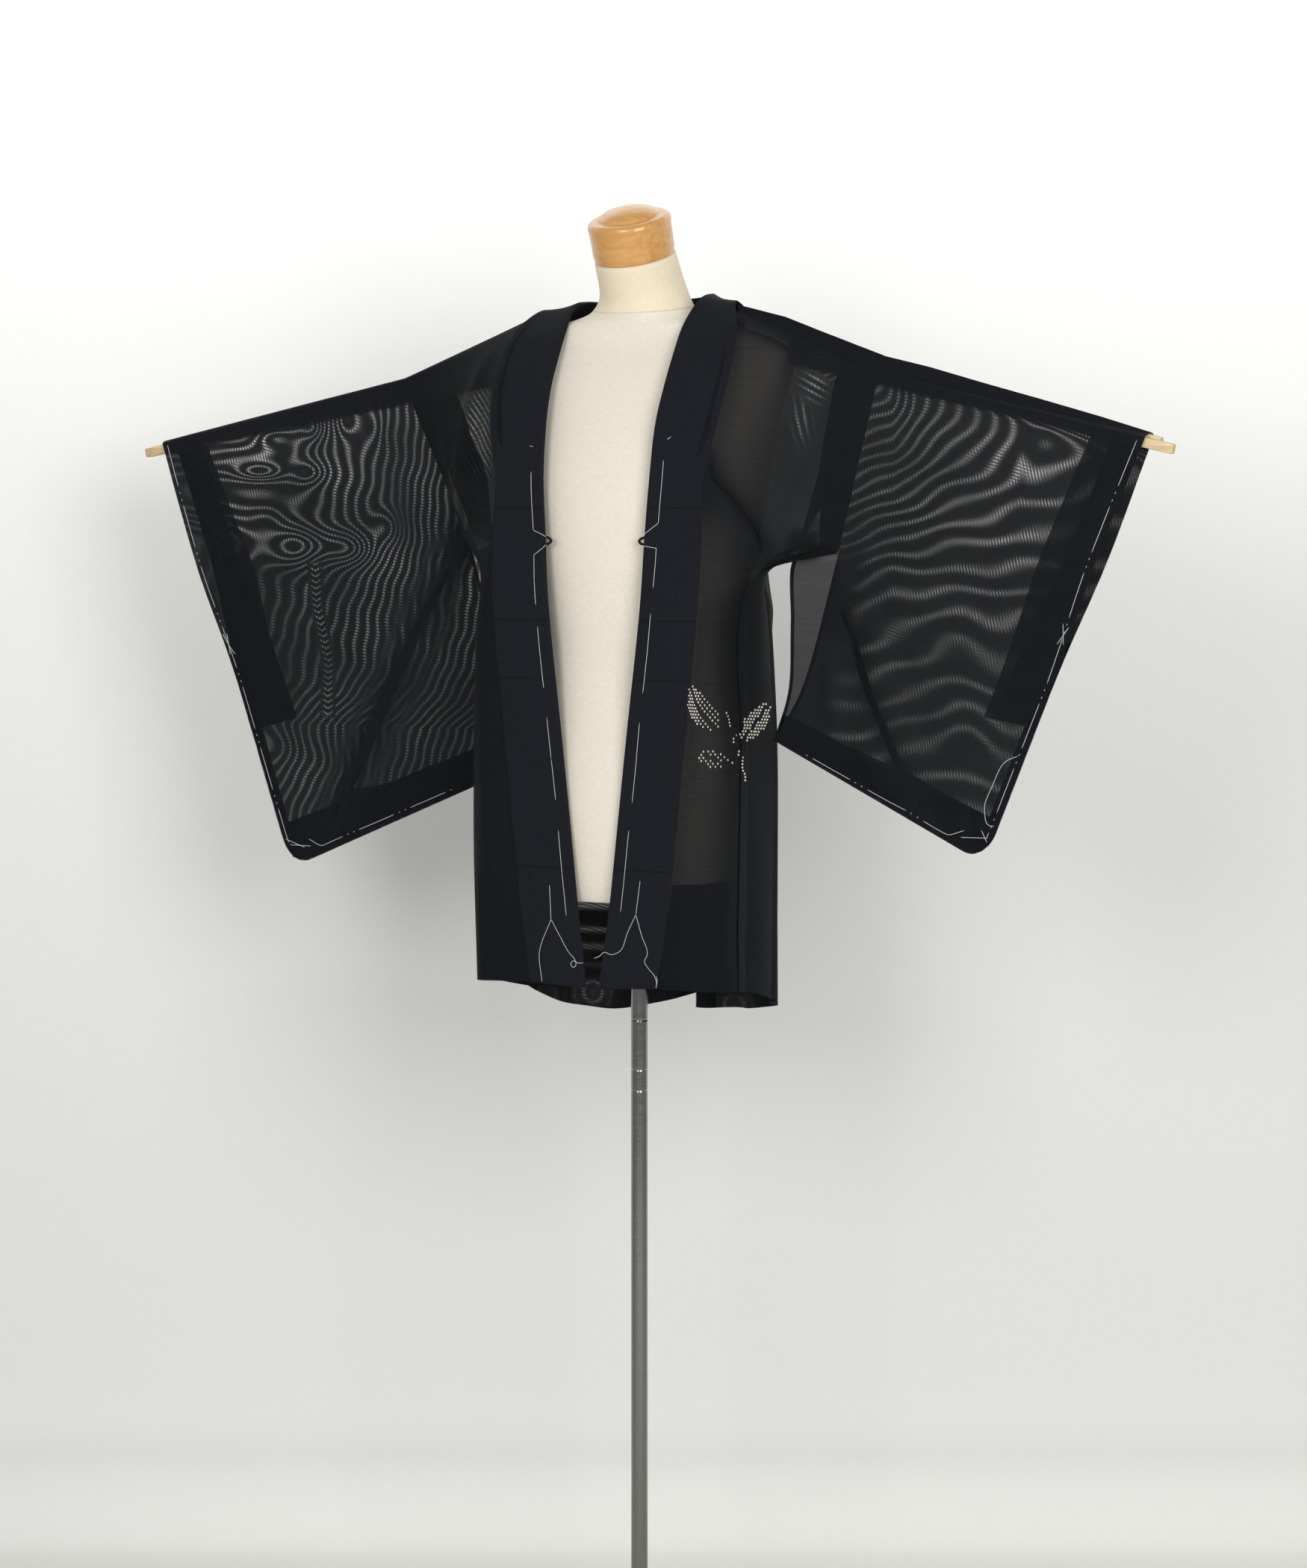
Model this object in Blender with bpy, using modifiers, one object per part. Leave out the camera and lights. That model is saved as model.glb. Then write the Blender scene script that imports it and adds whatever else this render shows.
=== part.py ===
# A sheer unlined haori jacket worn by a limbless dress form on a pole stand.
# Metres, +Z up. The origin is the middle of the foot's underside. The form faces -Y, and the
# wearer's left side is at +X.

import bpy
import math
import numpy as np
from mathutils import Matrix, Vector

for old in list(bpy.data.objects):
    bpy.data.objects.remove(old, do_unlink=True)

# ---- driving sizes -------------------------------------------------------------------------
CLOTH = 0.0012             # wall of a single layer
COLLAR_WALL = 0.0014       # wall of each leg of the folded collar
SEAM_GAP = 0.0010          # middle of one wall to middle of the next, edge to edge
CENTRE_GAP = 0.0006        # each back panel's edge from the centre back
BAND = 0.004               # the collar's inner leg lies this far under its outer leg

SHOULDER_Z = 1.4075        # top of the armhole
HALF_SHOULDER = 0.294      # centre back to the armhole, level
CUFF_Z = 1.3392            # top of the cuff edge
RIDGE_HALF = 0.0125        # the cloth wraps over the slats this wide, each way
RIDGE_DROP = 0.004         # and comes off them this far down
RISE_FADE = 0.12           # the back hangs straight again this far below a raised fold
CUFF_OPEN = 0.50           # the open part of the outer edge, as a share of the sleeve's length
HEM_FRONT_Z = 0.7485
MOUTH_BULGE = 0.004        # the open cuff's faces stand this much further apart in the middle
CLOSED_HALF = 0.0026       # half the sleeve's thickness where it is sewn shut
BILLOW = 0.016             # the sleeve's faces stand this far out in the middle
CORNER_LIFT = 0.013        # the rounded lower outer corner of the sleeve: up, and in
CORNER_INSET = 0.005
GUSSET_BULGE = 0.003
GUSSET_TOP = 0.12          # it starts this share of a row below the underarm

SLAT_DEEP = 0.010
SLAT_TALL = 0.0105
SLAT_BEVEL = 0.0015
SLAT_INNER = 0.1875        # the inner ends stand against the form's shoulders

NECK_TILT = 0.344          # slope of the neck's top, back higher than front
NECK_TOP = Vector((0.0, -0.010, 1.535))
CAP_GAP = 0.0006
TOUCH_GAP = 0.0003         # between pieces that rest on each other

POLE_RADIUS = 0.0092
POLE_TOP = 0.8372
BASE_RADIUS = 0.160
HUB_TOP = 0.060

LOOP_Z = 1.234             # the two cord loops on the collar
LOOP_ROOT = 0.0022         # their ends stand this far clear of the collar's folded edge
LOOP_REACH = 0.0055
LOOP_HALF = 0.004
LOOP_WIRE = 0.0011

# Form: one level ring a row. Half width, and how far it reaches to the front and the back of
# the pole's axis. "tip" is the slope of the ring, back higher.
FORM_ROWS = (
    # z      half   front   back   tip
    (0.8375, 0.112, 0.086, 0.088, 0.000),
    (0.8420, 0.118, 0.093, 0.095, 0.000),
    (0.9000, 0.127, 0.098, 0.104, 0.000),
    (0.9600, 0.130, 0.099, 0.107, 0.000),
    (1.0300, 0.124, 0.093, 0.098, 0.000),
    (1.1000, 0.117, 0.087, 0.088, 0.000),
    (1.1600, 0.122, 0.090, 0.088, 0.000),
    (1.2200, 0.136, 0.094, 0.092, 0.000),
    (1.2800, 0.146, 0.093, 0.092, 0.000),
    (1.3300, 0.156, 0.084, 0.090, 0.000),
    (1.3700, 0.170, 0.070, 0.077, 0.000),
    (1.4000, 0.181, 0.058, 0.062, 0.000),
    (1.4250, 0.186, 0.044, 0.052, 0.000),
    (1.4400, 0.172, 0.036, 0.041, 0.010),
    (1.4520, 0.142, 0.033, 0.037, 0.030),
    (1.4620, 0.106, 0.033, 0.040, 0.060),
    (1.4700, 0.076, 0.034, 0.047, 0.100),
    (1.4800, 0.058, 0.036, 0.056, 0.150),
    (1.5000, 0.0475, 0.0375, 0.0545, 0.250),
    (1.5350, 0.0440, 0.0530, 0.0340, 0.344),
)
FORM_SIDES = 28
SQUARENESS = 0.92          # of the torso's rings; the neck's are plain ellipses
NECK_FROM = 1.468

# Cap, foot: turned profiles, radius and height from the lowest point.
CAP_PROFILE = (
    (0.0000, 0.0565), (0.0120, 0.0555), (0.0250, 0.0520), (0.0330, 0.0475), (0.0345, 0.0445),
    (0.0420, 0.0440), (0.0452, 0.0415), (0.0462, 0.0375), (0.0452, 0.0335), (0.0449, 0.0080),
    (0.0438, 0.0015), (0.0425, 0.0000), (0.0000, 0.0000),
)
BASE_PROFILE = (
    (0.0000, HUB_TOP - TOUCH_GAP), (0.0150, HUB_TOP), (0.0190, HUB_TOP - 0.004), (0.0200, 0.036),
    (0.0260, 0.026), (0.0500, 0.0185), (0.1100, 0.0135), (0.1500, 0.0105), (0.1590, 0.0070),
    (BASE_RADIUS, 0.0030), (0.1580, 0.0000), (0.0000, 0.0000),
)

# Where each armhole ends, on the front and on the back panel.
ARMHOLE_END = {
    ("left", "front"): (0.2506, -0.018, 1.2160),
    ("left", "back"): (0.1860, 0.020, 1.2180),
    ("right", "front"): (0.2080, -0.008, 1.2180),
    ("right", "back"): (0.2200, 0.018, 1.2300),
}
ARMHOLE_LENGTH = 0.20
WRAP_LENGTH = 0.016        # the part of the armhole that bends over the shoulder's fold
SPREAD_OVER = 0.22         # the wearer's right side reaches its spread this far below the armhole
ARMHOLE_STEPS = (0.0, 0.20, 0.42, 0.65, 0.85, 1.0, 2.2, 4.2, 6.8, 9.6, 12.5)   # in wrap lengths

# Front panel, by its distance down from the shoulder's fold: edge at the collar, a control
# point for the bend, and the outer edge once it has left the armhole.
FRONT_ROWS = (
    # down    in x    in y    in z    bend x  bend y  bend z   out x   out y   out z
    (0.000, 0.1205, 0.000, 1.4755, 0.205, 0.000, 1.4440, None, None, None),
    (0.008, 0.1245, -0.010, 1.4725, 0.206, -0.008, 1.4400, None, None, None),
    (0.016, 0.1285, -0.018, 1.4680, 0.207, -0.015, 1.4350, None, None, None),
    (0.035, 0.1380, -0.035, 1.4520, 0.209, -0.028, 1.4180, None, None, None),
    (0.075, 0.1445, -0.058, 1.4180, 0.214, -0.046, 1.3750, None, None, None),
    (0.110, 0.1440, -0.074, 1.3840, 0.214, -0.056, 1.3420, None, None, None),
    (0.145, 0.1395, -0.085, 1.3500, 0.210, -0.066, 1.3070, None, None, None),
    (0.200, 0.1285, -0.094, 1.2900, 0.196, -0.080, 1.2450, None, None, None),
    (0.235, 0.1288, -0.0975, 1.2500, 0.176, -0.091, 1.2050, 0.2075, -0.020, 1.2085),
    (0.275, 0.1285, -0.1010, 1.2050, 0.157, -0.097, 1.1700, 0.163, -0.024, 1.1975),
    (0.330, 0.1258, -0.1045, 1.1500, 0.152, -0.102, 1.1250, 0.150, -0.029, 1.1480),
    (0.450, 0.1135, -0.1050, 1.0300, 0.157, -0.105, 1.0250, 0.149, -0.031, 1.0250),
    (0.600, 0.0992, -0.1053, 0.8850, 0.160, -0.107, 0.8880, 0.147, -0.031, 0.8900),
    (0.743, 0.0804, -0.1065, HEM_FRONT_Z, 0.157, -0.109, 0.7465, 0.145, -0.031, 0.7420),
)
# Back panel, the same way. Its inner edge is the neckline and then the centre back.
BACK_ROWS = (
    (0.000, 0.1205, 0.000, 1.4755, 0.205, 0.000, 1.4440, None, None, None),
    (0.008, 0.1190, 0.010, 1.4710, 0.206, 0.010, 1.4400, None, None, None),
    (0.016, 0.1155, 0.019, 1.4655, 0.206, 0.018, 1.4350, None, None, None),
    (0.035, 0.1000, 0.038, 1.4520, 0.203, 0.036, 1.4180, None, None, None),
    (0.075, 0.0600, 0.062, 1.4340, 0.186, 0.064, 1.3850, None, None, None),
    (0.110, 0.0006, 0.072, 1.4240, 0.165, 0.084, 1.3560, None, None, None),
    (0.150, 0.0006, 0.092, 1.3880, 0.145, 0.104, 1.3170, None, None, None),
    (0.200, 0.0006, 0.110, 1.3380, 0.132, 0.117, 1.2650, None, None, None),
    (0.250, 0.0006, 0.120, 1.2760, 0.125, 0.122, 1.2100, 0.136, 0.031, 1.1975),
    (0.310, 0.0006, 0.126, 1.2050, 0.125, 0.124, 1.1520, 0.1385, 0.036, 1.1480),
    (0.430, 0.0006, 0.131, 1.0600, 0.124, 0.128, 1.0250, 0.1465, 0.036, 1.0250),
    (0.590, 0.0006, 0.134, 0.8800, 0.126, 0.132, 0.8640, 0.146, 0.037, 0.8700),
    (0.740, 0.0006, 0.136, 0.7000, 0.126, 0.134, 0.6970, 0.144, 0.037, 0.7270),
)
RIGHT_UNDERARM = {0.235: (0.185, -0.014, 1.2000), 0.275: (0.166, -0.020, 1.1780),
                   0.330: (0.156, -0.028, 1.1350)}
# How much higher the back's hem is, at the centre back, in the middle and at the gusset.
BACK_HEM_LIFT = {"left": (0.0, 0.0055, 0.0), "right": (0.0165, -0.026, 0.000)}
# Below the waist the wearer's right side hangs wider and further forward: front bend, front
# edge, back bend, back edge, each as x and y.
RIGHT_SPREAD = ((0.012, -0.015), (0.015, -0.016), (0.008, 0.000), (0.012, -0.010))
# The fold over the slats stands higher than the plain line from shoulder to cuff: (x, rise).
RIDGE_RISE = {
    "left": (
        (0.060, 0.0000), (0.120, 0.0060), (0.178, 0.0138), (0.220, 0.0145), (0.290, 0.0170),
        (0.345, 0.0165), (0.410, 0.0130), (0.470, 0.0105), (0.540, 0.0070), (0.5965, 0.0030),
    ),
    "right": ((0.060, 0.0), (0.620, 0.0)),
}

# Sleeve's inner edge below the armhole, as (share of the way down, x, y, z), and its outer edge.
SLEEVE_INNER = {
    ("left", "front"): ((0.70, 0.2130, -0.022, 1.0800), (1.0, 0.1740, -0.020, 1.0140)),
    ("left", "back"): ((0.47, 0.1755, 0.024, 1.2060), (0.62, 0.1725, 0.026, 1.1400),
                       (0.80, 0.1700, 0.027, 1.0700), (1.0, 0.1705, -0.008, 1.0160)),
    ("right", "front"): ((0.62, 0.1800, -0.010, 1.1200), (1.0, 0.1720, -0.010, 0.9650)),
    ("right", "back"): ((0.62, 0.1900, 0.026, 1.1300), (1.0, 0.1720, 0.002, 0.9670)),
}
ARMHOLE_SHARE = 0.42
SLEEVE_OUTER = {
    "left": ((0.5965, 0.000, CUFF_Z), (0.4255, -0.028, 0.8915)),
    "right": ((0.6165, 0.000, CUFF_Z), (0.4480, -0.006, 0.8510)),
}
SLEEVE_ACROSS = 13
SLEEVE_BELOW = 10           # steps below the armhole

# Large soft folds: where each starts and ends on its panel (across, down, as shares of the
# panel), half width as a share, and height out of the cloth.
SLEEVE_FOLDS = (
    # a0    d0    a1    d1    width  height
    (0.02, 0.36, 0.70, 0.98, 0.055, 0.011),
    (0.06, 0.42, 0.34, 0.97, 0.050, -0.006),
    (0.20, 0.10, 0.95, 0.40, 0.100, 0.004),
)
FRONT_FOLDS = (
    (0.02, 0.30, 0.95, 0.345, 0.055, -0.010),
    (0.10, 0.42, 0.45, 0.98, 0.080, 0.004),
)
BACK_WAVES = 2.5           # folds across half the back
BACK_WAVE_DEPTH = 0.012    # at the hem
WAVES_FROM = 0.12          # share of the back's length where they begin
MOUTH_FROM = 0.30          # share of the cuff edge where its faces begin to close
MOUTH_OVER = 0.12          # and how far past the opening's end they go on closing

# Collar, right half, from the front hem to the centre back: the folded edge, the free outer
# edge, and how far the inner leg reaches, as a share of the outer one.
COLLAR_ROWS = (
    # in x    in y     in z    out x    out y    out z   inner leg
    (0.0080, -0.1085, 0.7450, 0.0778, -0.1068, 0.7480, 0.25),
    (0.0196, -0.1062, 0.8300, 0.0908, -0.1053, 0.8300, 0.25),
    (0.0300, -0.1055, 0.9240, 0.1013, -0.1052, 0.9240, 0.25),
    (0.0405, -0.1053, 1.0180, 0.1112, -0.1051, 1.0180, 0.25),
    (0.0560, -0.1050, 1.1500, 0.1248, -0.1045, 1.1500, 0.25),
    (0.0615, -0.1030, 1.2340, 0.1276, -0.0988, 1.2340, 0.25),
    (0.0656, -0.1000, 1.2950, 0.1273, -0.0940, 1.2900, 0.26),
    (0.0675, -0.0910, 1.3500, 0.1380, -0.0850, 1.3500, 0.28),
    (0.0700, -0.0755, 1.3920, 0.1428, -0.0745, 1.3850, 0.32),
    (0.0710, -0.0560, 1.4270, 0.1434, -0.0585, 1.4190, 0.38),
    (0.0728, -0.0340, 1.4580, 0.1372, -0.0352, 1.4540, 0.46),
    (0.0780, -0.0060, 1.4830, 0.1195, -0.0030, 1.4790, 0.60),
    (0.0770, 0.0250, 1.4890, 0.1170, 0.0280, 1.4690, 0.75),
    (0.0600, 0.0520, 1.4880, 0.0960, 0.0590, 1.4500, 0.90),
    (0.0320, 0.0640, 1.4860, 0.0500, 0.0820, 1.4360, 1.00),
    (0.0000, 0.0670, 1.4850, 0.0000, 0.0880, 1.4320, 1.00),
)
COLLAR_ALONG = 27          # rows in each half
COLLAR_PEAK = 0.006        # the wearer's left side stands this much higher
PEAK_FROM = 1.42           # from this height up
PEAK_OVER = 0.06
INNER_LEG_WIDTH = 0.93     # the inner leg is this much narrower than its row says
COLLAR_EDGE = 0.0012       # the rounded fold: both legs start this far from the edge

parts = bpy.data.collections.new("haori_on_form")
bpy.context.scene.collection.children.link(parts)


def material(name, rgb, roughness, metallic=0.0):
    made = bpy.data.materials.new(name)
    made.use_nodes = True
    shader = made.node_tree.nodes["Principled BSDF"]
    shader.inputs["Base Color"].default_value = (*rgb, 1.0)
    shader.inputs["Roughness"].default_value = roughness
    shader.inputs["Metallic"].default_value = metallic
    return made


CLOTH_LOOK = material("black_gauze", (0.012, 0.013, 0.018), 0.75)
COLLAR_LOOK = material("black_gauze_doubled", (0.010, 0.011, 0.016), 0.75)
LINEN_LOOK = material("cream_linen", (0.83, 0.76, 0.64), 0.85)
WOOD_LOOK = material("varnished_wood", (0.70, 0.40, 0.13), 0.25)
SLAT_LOOK = material("pale_wood", (0.78, 0.62, 0.38), 0.55)
STEEL_LOOK = material("chromed_steel", (0.75, 0.75, 0.76), 0.12, 1.0)


def add(name, mesh, look):
    made = bpy.data.objects.new(name, mesh)
    mesh.materials.append(look)
    parts.objects.link(made)
    return made


def hermite(keys, values, at):
    """Smooth curve through values at keys, read at the given places."""
    keys = np.asarray(keys, float)
    values = np.asarray(values, float)
    slopes = np.gradient(values, keys, axis=0)
    at = np.asarray(at, float)
    cell = np.clip(np.searchsorted(keys, at, side="right") - 1, 0, len(keys) - 2)
    span = keys[cell + 1] - keys[cell]
    t = ((at - keys[cell]) / span)[:, None]
    h = span[:, None]
    return (
        (2 * t**3 - 3 * t**2 + 1) * values[cell]
        + (t**3 - 2 * t**2 + t) * h * slopes[cell]
        + (3 * t**2 - 2 * t**3) * values[cell + 1]
        + (t**3 - t**2) * h * slopes[cell + 1]
    )


def grid_mesh(name, points, loop=False):
    """Quads over a grid of points; with loop, the last column joins the first."""
    rows, columns = points.shape[:2]
    verts = points.reshape(-1, 3)
    steps = columns if loop else columns - 1
    faces = []
    for row in range(rows - 1):
        for column in range(steps):
            beside = (column + 1) % columns
            faces.append((row * columns + column, row * columns + beside,
                          (row + 1) * columns + beside, (row + 1) * columns + column))
    mesh = bpy.data.meshes.new(name)
    mesh.from_pydata(verts.tolist(), [], faces)
    mesh.shade_smooth()
    return mesh


def cloth(name, points, look, wall=CLOTH, loop=False):
    made = add(name, grid_mesh(name, points, loop), look)
    shell = made.modifiers.new("wall", "SOLIDIFY")
    shell.thickness = wall
    shell.offset = 0.0
    return made


def turned(name, profile, look, steps):
    """A profile of radius and height, run from the top down its outer side, turned about Z."""
    mesh = bpy.data.meshes.new(name)
    verts = [(radius, 0.0, height) for radius, height in profile]
    mesh.from_pydata(verts, [(i, i + 1) for i in range(len(verts) - 1)], [])
    made = add(name, mesh, look)
    spin = made.modifiers.new("turn", "SCREW")
    spin.steps = steps
    spin.render_steps = steps
    spin.use_merge_vertices = True
    spin.merge_threshold = 0.0001
    spin.use_smooth_shade = True
    return made


def fold_height(across, down, folds):
    """Sum of soft ridges, each along a straight line on the panel, with tapered ends."""
    total = np.zeros(np.broadcast(across, down).shape)
    for a0, d0, a1, d1, width, height in folds:
        run = np.array([a1 - a0, d1 - d0])
        length = np.hypot(*run)
        along = ((across - a0) * run[0] + (down - d0) * run[1]) / length**2
        aside = ((across - a0) * run[1] - (down - d0) * run[0]) / length
        taper = np.clip(along, 0, 1) * np.clip(1.15 - along, 0, 1) * 3.4
        total = total + height * np.exp(-(aside / width) ** 2) * np.clip(taper, 0, 1)
    return total


# ---- cloth ---------------------------------------------------------------------------------
def armhole(side, face, steps):
    """The seam from the top of the shoulder's fold down one face of the sleeve.

    It leaves the fold on a quarter ellipse and then runs straight to its end.
    """
    end = np.array(ARMHOLE_END[side, face])
    outward = 1.0 if face == "back" else -1.0
    down = np.asarray(steps, float)
    turn = np.clip(down / WRAP_LENGTH, 0, 1) * math.pi / 2
    share = np.clip((down - WRAP_LENGTH) / (ARMHOLE_LENGTH - WRAP_LENGTH), 0, 1)
    edge = np.empty((len(down), 3))
    left_fold = RIDGE_HALF * outward
    lower = SHOULDER_Z - RIDGE_DROP
    edge[:, 0] = HALF_SHOULDER + (end[0] - HALF_SHOULDER) * share
    edge[:, 1] = np.where(share > 0, left_fold + (end[1] - left_fold) * share, left_fold * np.sin(turn))
    edge[:, 2] = np.where(share > 0, lower + (end[2] - lower) * share, lower + RIDGE_DROP * np.cos(turn))
    return edge


def raise_ridge(grid, side, face, down):
    """Lifts the shoulder's fold. The front drops off it at once and the back falls away slowly."""
    rise = np.interp(grid[..., 0], *np.array(RIDGE_RISE[side]).T)
    if face == "front":
        share = np.clip(1 - down / (ARMHOLE_STEPS[1] * WRAP_LENGTH), 0, 1)
    else:
        share = 0.5 + 0.5 * np.cos(math.pi * np.clip((down - WRAP_LENGTH) / RISE_FADE, 0, 1))
    grid[..., 2] += rise * share[:, None]


def panel_steps(rows):
    """Distances down a panel: the armhole's own steps, then even steps to the hem."""
    seam = ARMHOLE_LENGTH * np.array(ARMHOLE_STEPS) / ARMHOLE_STEPS[-1]
    below = np.linspace(ARMHOLE_LENGTH, rows[-1][0], 12)[1:]
    return np.concatenate([seam, below])


def panel(side, face, rows, across_count):
    """Front or back panel as a grid: each row is a quadratic curve from edge to edge."""
    keys = [row[0] for row in rows]
    steps = panel_steps(rows)
    inner = hermite(keys, [row[1:4] for row in rows], steps)
    inner[:, 0] = np.maximum(inner[:, 0], CENTRE_GAP)
    bend = hermite(keys, [row[4:7] for row in rows], steps)
    seam_end = ARMHOLE_END[side, face]
    lower = [(ARMHOLE_LENGTH, *seam_end)]
    for row in rows:
        if row[7] is not None:
            edge = row[7:10]
            if side == "right" and face == "front" and row[0] in RIGHT_UNDERARM:
                edge = RIGHT_UNDERARM[row[0]]
            lower.append((row[0], *edge))
    seam_rows = len(ARMHOLE_STEPS)
    outer = np.empty_like(inner)
    outer[:seam_rows] = armhole(side, face, steps[:seam_rows])
    outer[:seam_rows, 0] -= SEAM_GAP
    outer[seam_rows:] = hermite([row[0] for row in lower], [row[1:] for row in lower], steps[seam_rows:])
    if side == "right":
        below = np.clip((steps - ARMHOLE_LENGTH) / SPREAD_OVER, 0, 1)[:, None]
        moved = np.array(RIGHT_SPREAD[:2] if face == "front" else RIGHT_SPREAD[2:])
        bend[:, :2] += moved[0] * below
        outer[:, :2] += moved[1] * below
    if face == "back":
        share = np.clip((steps - ARMHOLE_LENGTH) / (steps[-1] - ARMHOLE_LENGTH), 0, 1) ** 2
        lift = BACK_HEM_LIFT[side]
        inner[:, 2] += lift[0] * share
        bend[:, 2] += lift[1] * share
        outer[:, 2] += lift[2] * share
    t = np.linspace(0, 1, across_count)[None, :, None]
    grid = (1 - t) ** 2 * inner[:, None] + 2 * t * (1 - t) * bend[:, None] + t**2 * outer[:, None]
    across = t[..., 0] * np.ones((len(steps), 1))
    share = (steps / steps[-1])[:, None] * np.ones((1, across_count))
    edges = np.clip(across * (1 - across) * 12, 0, 1)
    if face == "front":
        grid[..., 1] -= fold_height(across, share, FRONT_FOLDS) * edges
    else:
        grown = np.clip(share - WAVES_FROM, 0, 1)
        wave = -np.cos(2 * math.pi * BACK_WAVES * across) * BACK_WAVE_DEPTH * grown * edges
        grid[..., 1] += wave * (1 - 0.5 * across)
        grid[..., 0] += wave * 0.6 * across
    raise_ridge(grid, side, face, steps)
    return grid


def mirrored(points, side):
    if side == "right":
        points = points.copy()
        points[..., 0] *= -1
    return points


PANEL_ACROSS = 11
for side in ("left", "right"):
    front = panel(side, "front", FRONT_ROWS, PANEL_ACROSS)
    back = panel(side, "back", BACK_ROWS, PANEL_ACROSS)
    whole = np.concatenate([back[:0:-1], front])
    cloth("body_" + side, mirrored(whole, side), CLOTH_LOOK)

    # Gusset: a ruled strip between the outer edges of the two panels, below the armholes.
    seam_rows = len(ARMHOLE_STEPS)
    near = front[seam_rows - 1:, -1]
    far = back[seam_rows - 1:, -1]
    span = far - near
    length = np.linalg.norm(span, axis=1, keepdims=True)
    inset = SEAM_GAP * 1.3 / length
    share = np.linspace(0, 1, 5)[None, :, None]
    strip = near[:, None] + span[:, None] * (inset[:, None] + (1 - 2 * inset[:, None]) * share)
    strip[..., 0] += GUSSET_BULGE * np.sin(math.pi * share[..., 0])
    strip[0] += (strip[1] - strip[0]) * GUSSET_TOP
    cloth("gusset_" + side, mirrored(strip, side), CLOTH_LOOK)


def sleeve_edge(side, face, shares):
    """The inner edge of one face of a sleeve, from the fold to the bottom, by share of the way."""
    keys = [(ARMHOLE_SHARE, *ARMHOLE_END[side, face])] + list(SLEEVE_INNER[side, face])
    seam = armhole(side, face, np.clip(shares / ARMHOLE_SHARE, 0, 1) * ARMHOLE_LENGTH)
    lower = hermite([key[0] for key in keys], [key[1:] for key in keys], np.clip(shares, ARMHOLE_SHARE, 1))
    return np.where((shares <= ARMHOLE_SHARE)[:, None], seam, lower)


def sleeve_face(side, face):
    """One face of a sleeve as a grid of (down, across) points."""
    seam = ARMHOLE_SHARE * np.array(ARMHOLE_STEPS) / ARMHOLE_STEPS[-1]
    shares = np.concatenate([seam, np.linspace(ARMHOLE_SHARE, 1, SLEEVE_BELOW)[1:]])
    inner = sleeve_edge(side, face, shares)
    top, corner = (np.array(point) for point in SLEEVE_OUTER[side])
    outward = 1.0 if face == "back" else -1.0
    wrap = ARMHOLE_SHARE * WRAP_LENGTH / ARMHOLE_LENGTH
    turn = np.clip(shares / wrap, 0, 1) * math.pi / 2
    fallen = np.clip((shares - wrap) / (1 - wrap), 0, 1)
    outer = top + (corner - top) * fallen[:, None]
    outer[:, 2] -= RIDGE_DROP * (1 - np.cos(turn)) * (1 - fallen)
    closing = np.clip((shares - MOUTH_FROM) / (CUFF_OPEN + MOUTH_OVER - MOUTH_FROM), 0, 1)
    mouth = 0.5 + 0.5 * np.cos(math.pi * closing)
    open_half = RIDGE_HALF + MOUTH_BULGE * np.sin(math.pi * np.clip(shares / CUFF_OPEN, 0, 1))
    gap = open_half * mouth + CLOSED_HALF * (1 - mouth)
    outer[:, 1] += outward * gap * np.sin(turn)
    t = np.linspace(0, 1, SLEEVE_ACROSS)[None, :, None]
    grid = inner[:, None] * (1 - t) + outer[:, None] * t
    across = t[..., 0]
    down = shares[:, None]
    # The two faces stand apart in the middle of the sleeve and close at the bottom.
    billow = BILLOW * np.sin(math.pi * across) * np.sin(math.pi * down**0.8)
    ridge = fold_height(across, down, SLEEVE_FOLDS) * np.clip((1 - down) * 12, 0, 1)
    ridge = ridge * np.clip(across * 10, 0, 1) * np.clip((1 - across) * 8, 0, 1)
    grid[..., 1] += outward * (billow + ridge)
    # Rounded lower outer corner: the last stretch of the outer edge lifts.
    lift = np.clip((across - 0.90) / 0.10, 0, 1) ** 2 * np.clip((down - 0.93) / 0.07, 0, 1) ** 2
    grid[..., 2] += CORNER_LIFT * lift
    grid[..., 0] -= CORNER_INSET * lift
    raise_ridge(grid, side, face, shares / ARMHOLE_SHARE * ARMHOLE_LENGTH)
    return grid


for side in ("left", "right"):
    front = sleeve_face(side, "front")
    back = sleeve_face(side, "back")
    # Bottom fold: both faces end beside one line, which lies a little lower.
    middle = (front[-1] + back[-1]) / 2
    for face, outward in ((front, -1.0), (back, 1.0)):
        face[-1] = middle + (0.0, outward * CLOSED_HALF, CLOTH * 1.5)
    fold = middle - (0.0, 0.0, CLOTH)
    top = (front[0] + back[0]) / 2
    ring = np.concatenate([top[None], front[1:], fold[None], back[:0:-1]])
    cloth("sleeve_" + side, mirrored(ring.transpose(1, 0, 2), side), CLOTH_LOOK, loop=True)


def collar_half(lift):
    keys = np.arange(len(COLLAR_ROWS), dtype=float)
    at = np.linspace(0, keys[-1], COLLAR_ALONG)
    values = hermite(keys, COLLAR_ROWS, at)
    inner, outer, leg = values[:, :3], values[:, 3:6], values[:, 6]
    raised = np.clip((inner[:, 2] - PEAK_FROM) / PEAK_OVER, 0, 1)
    inner[:, 2] += lift * raised
    outer[:, 2] += lift * raised
    return inner, outer, leg


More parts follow.
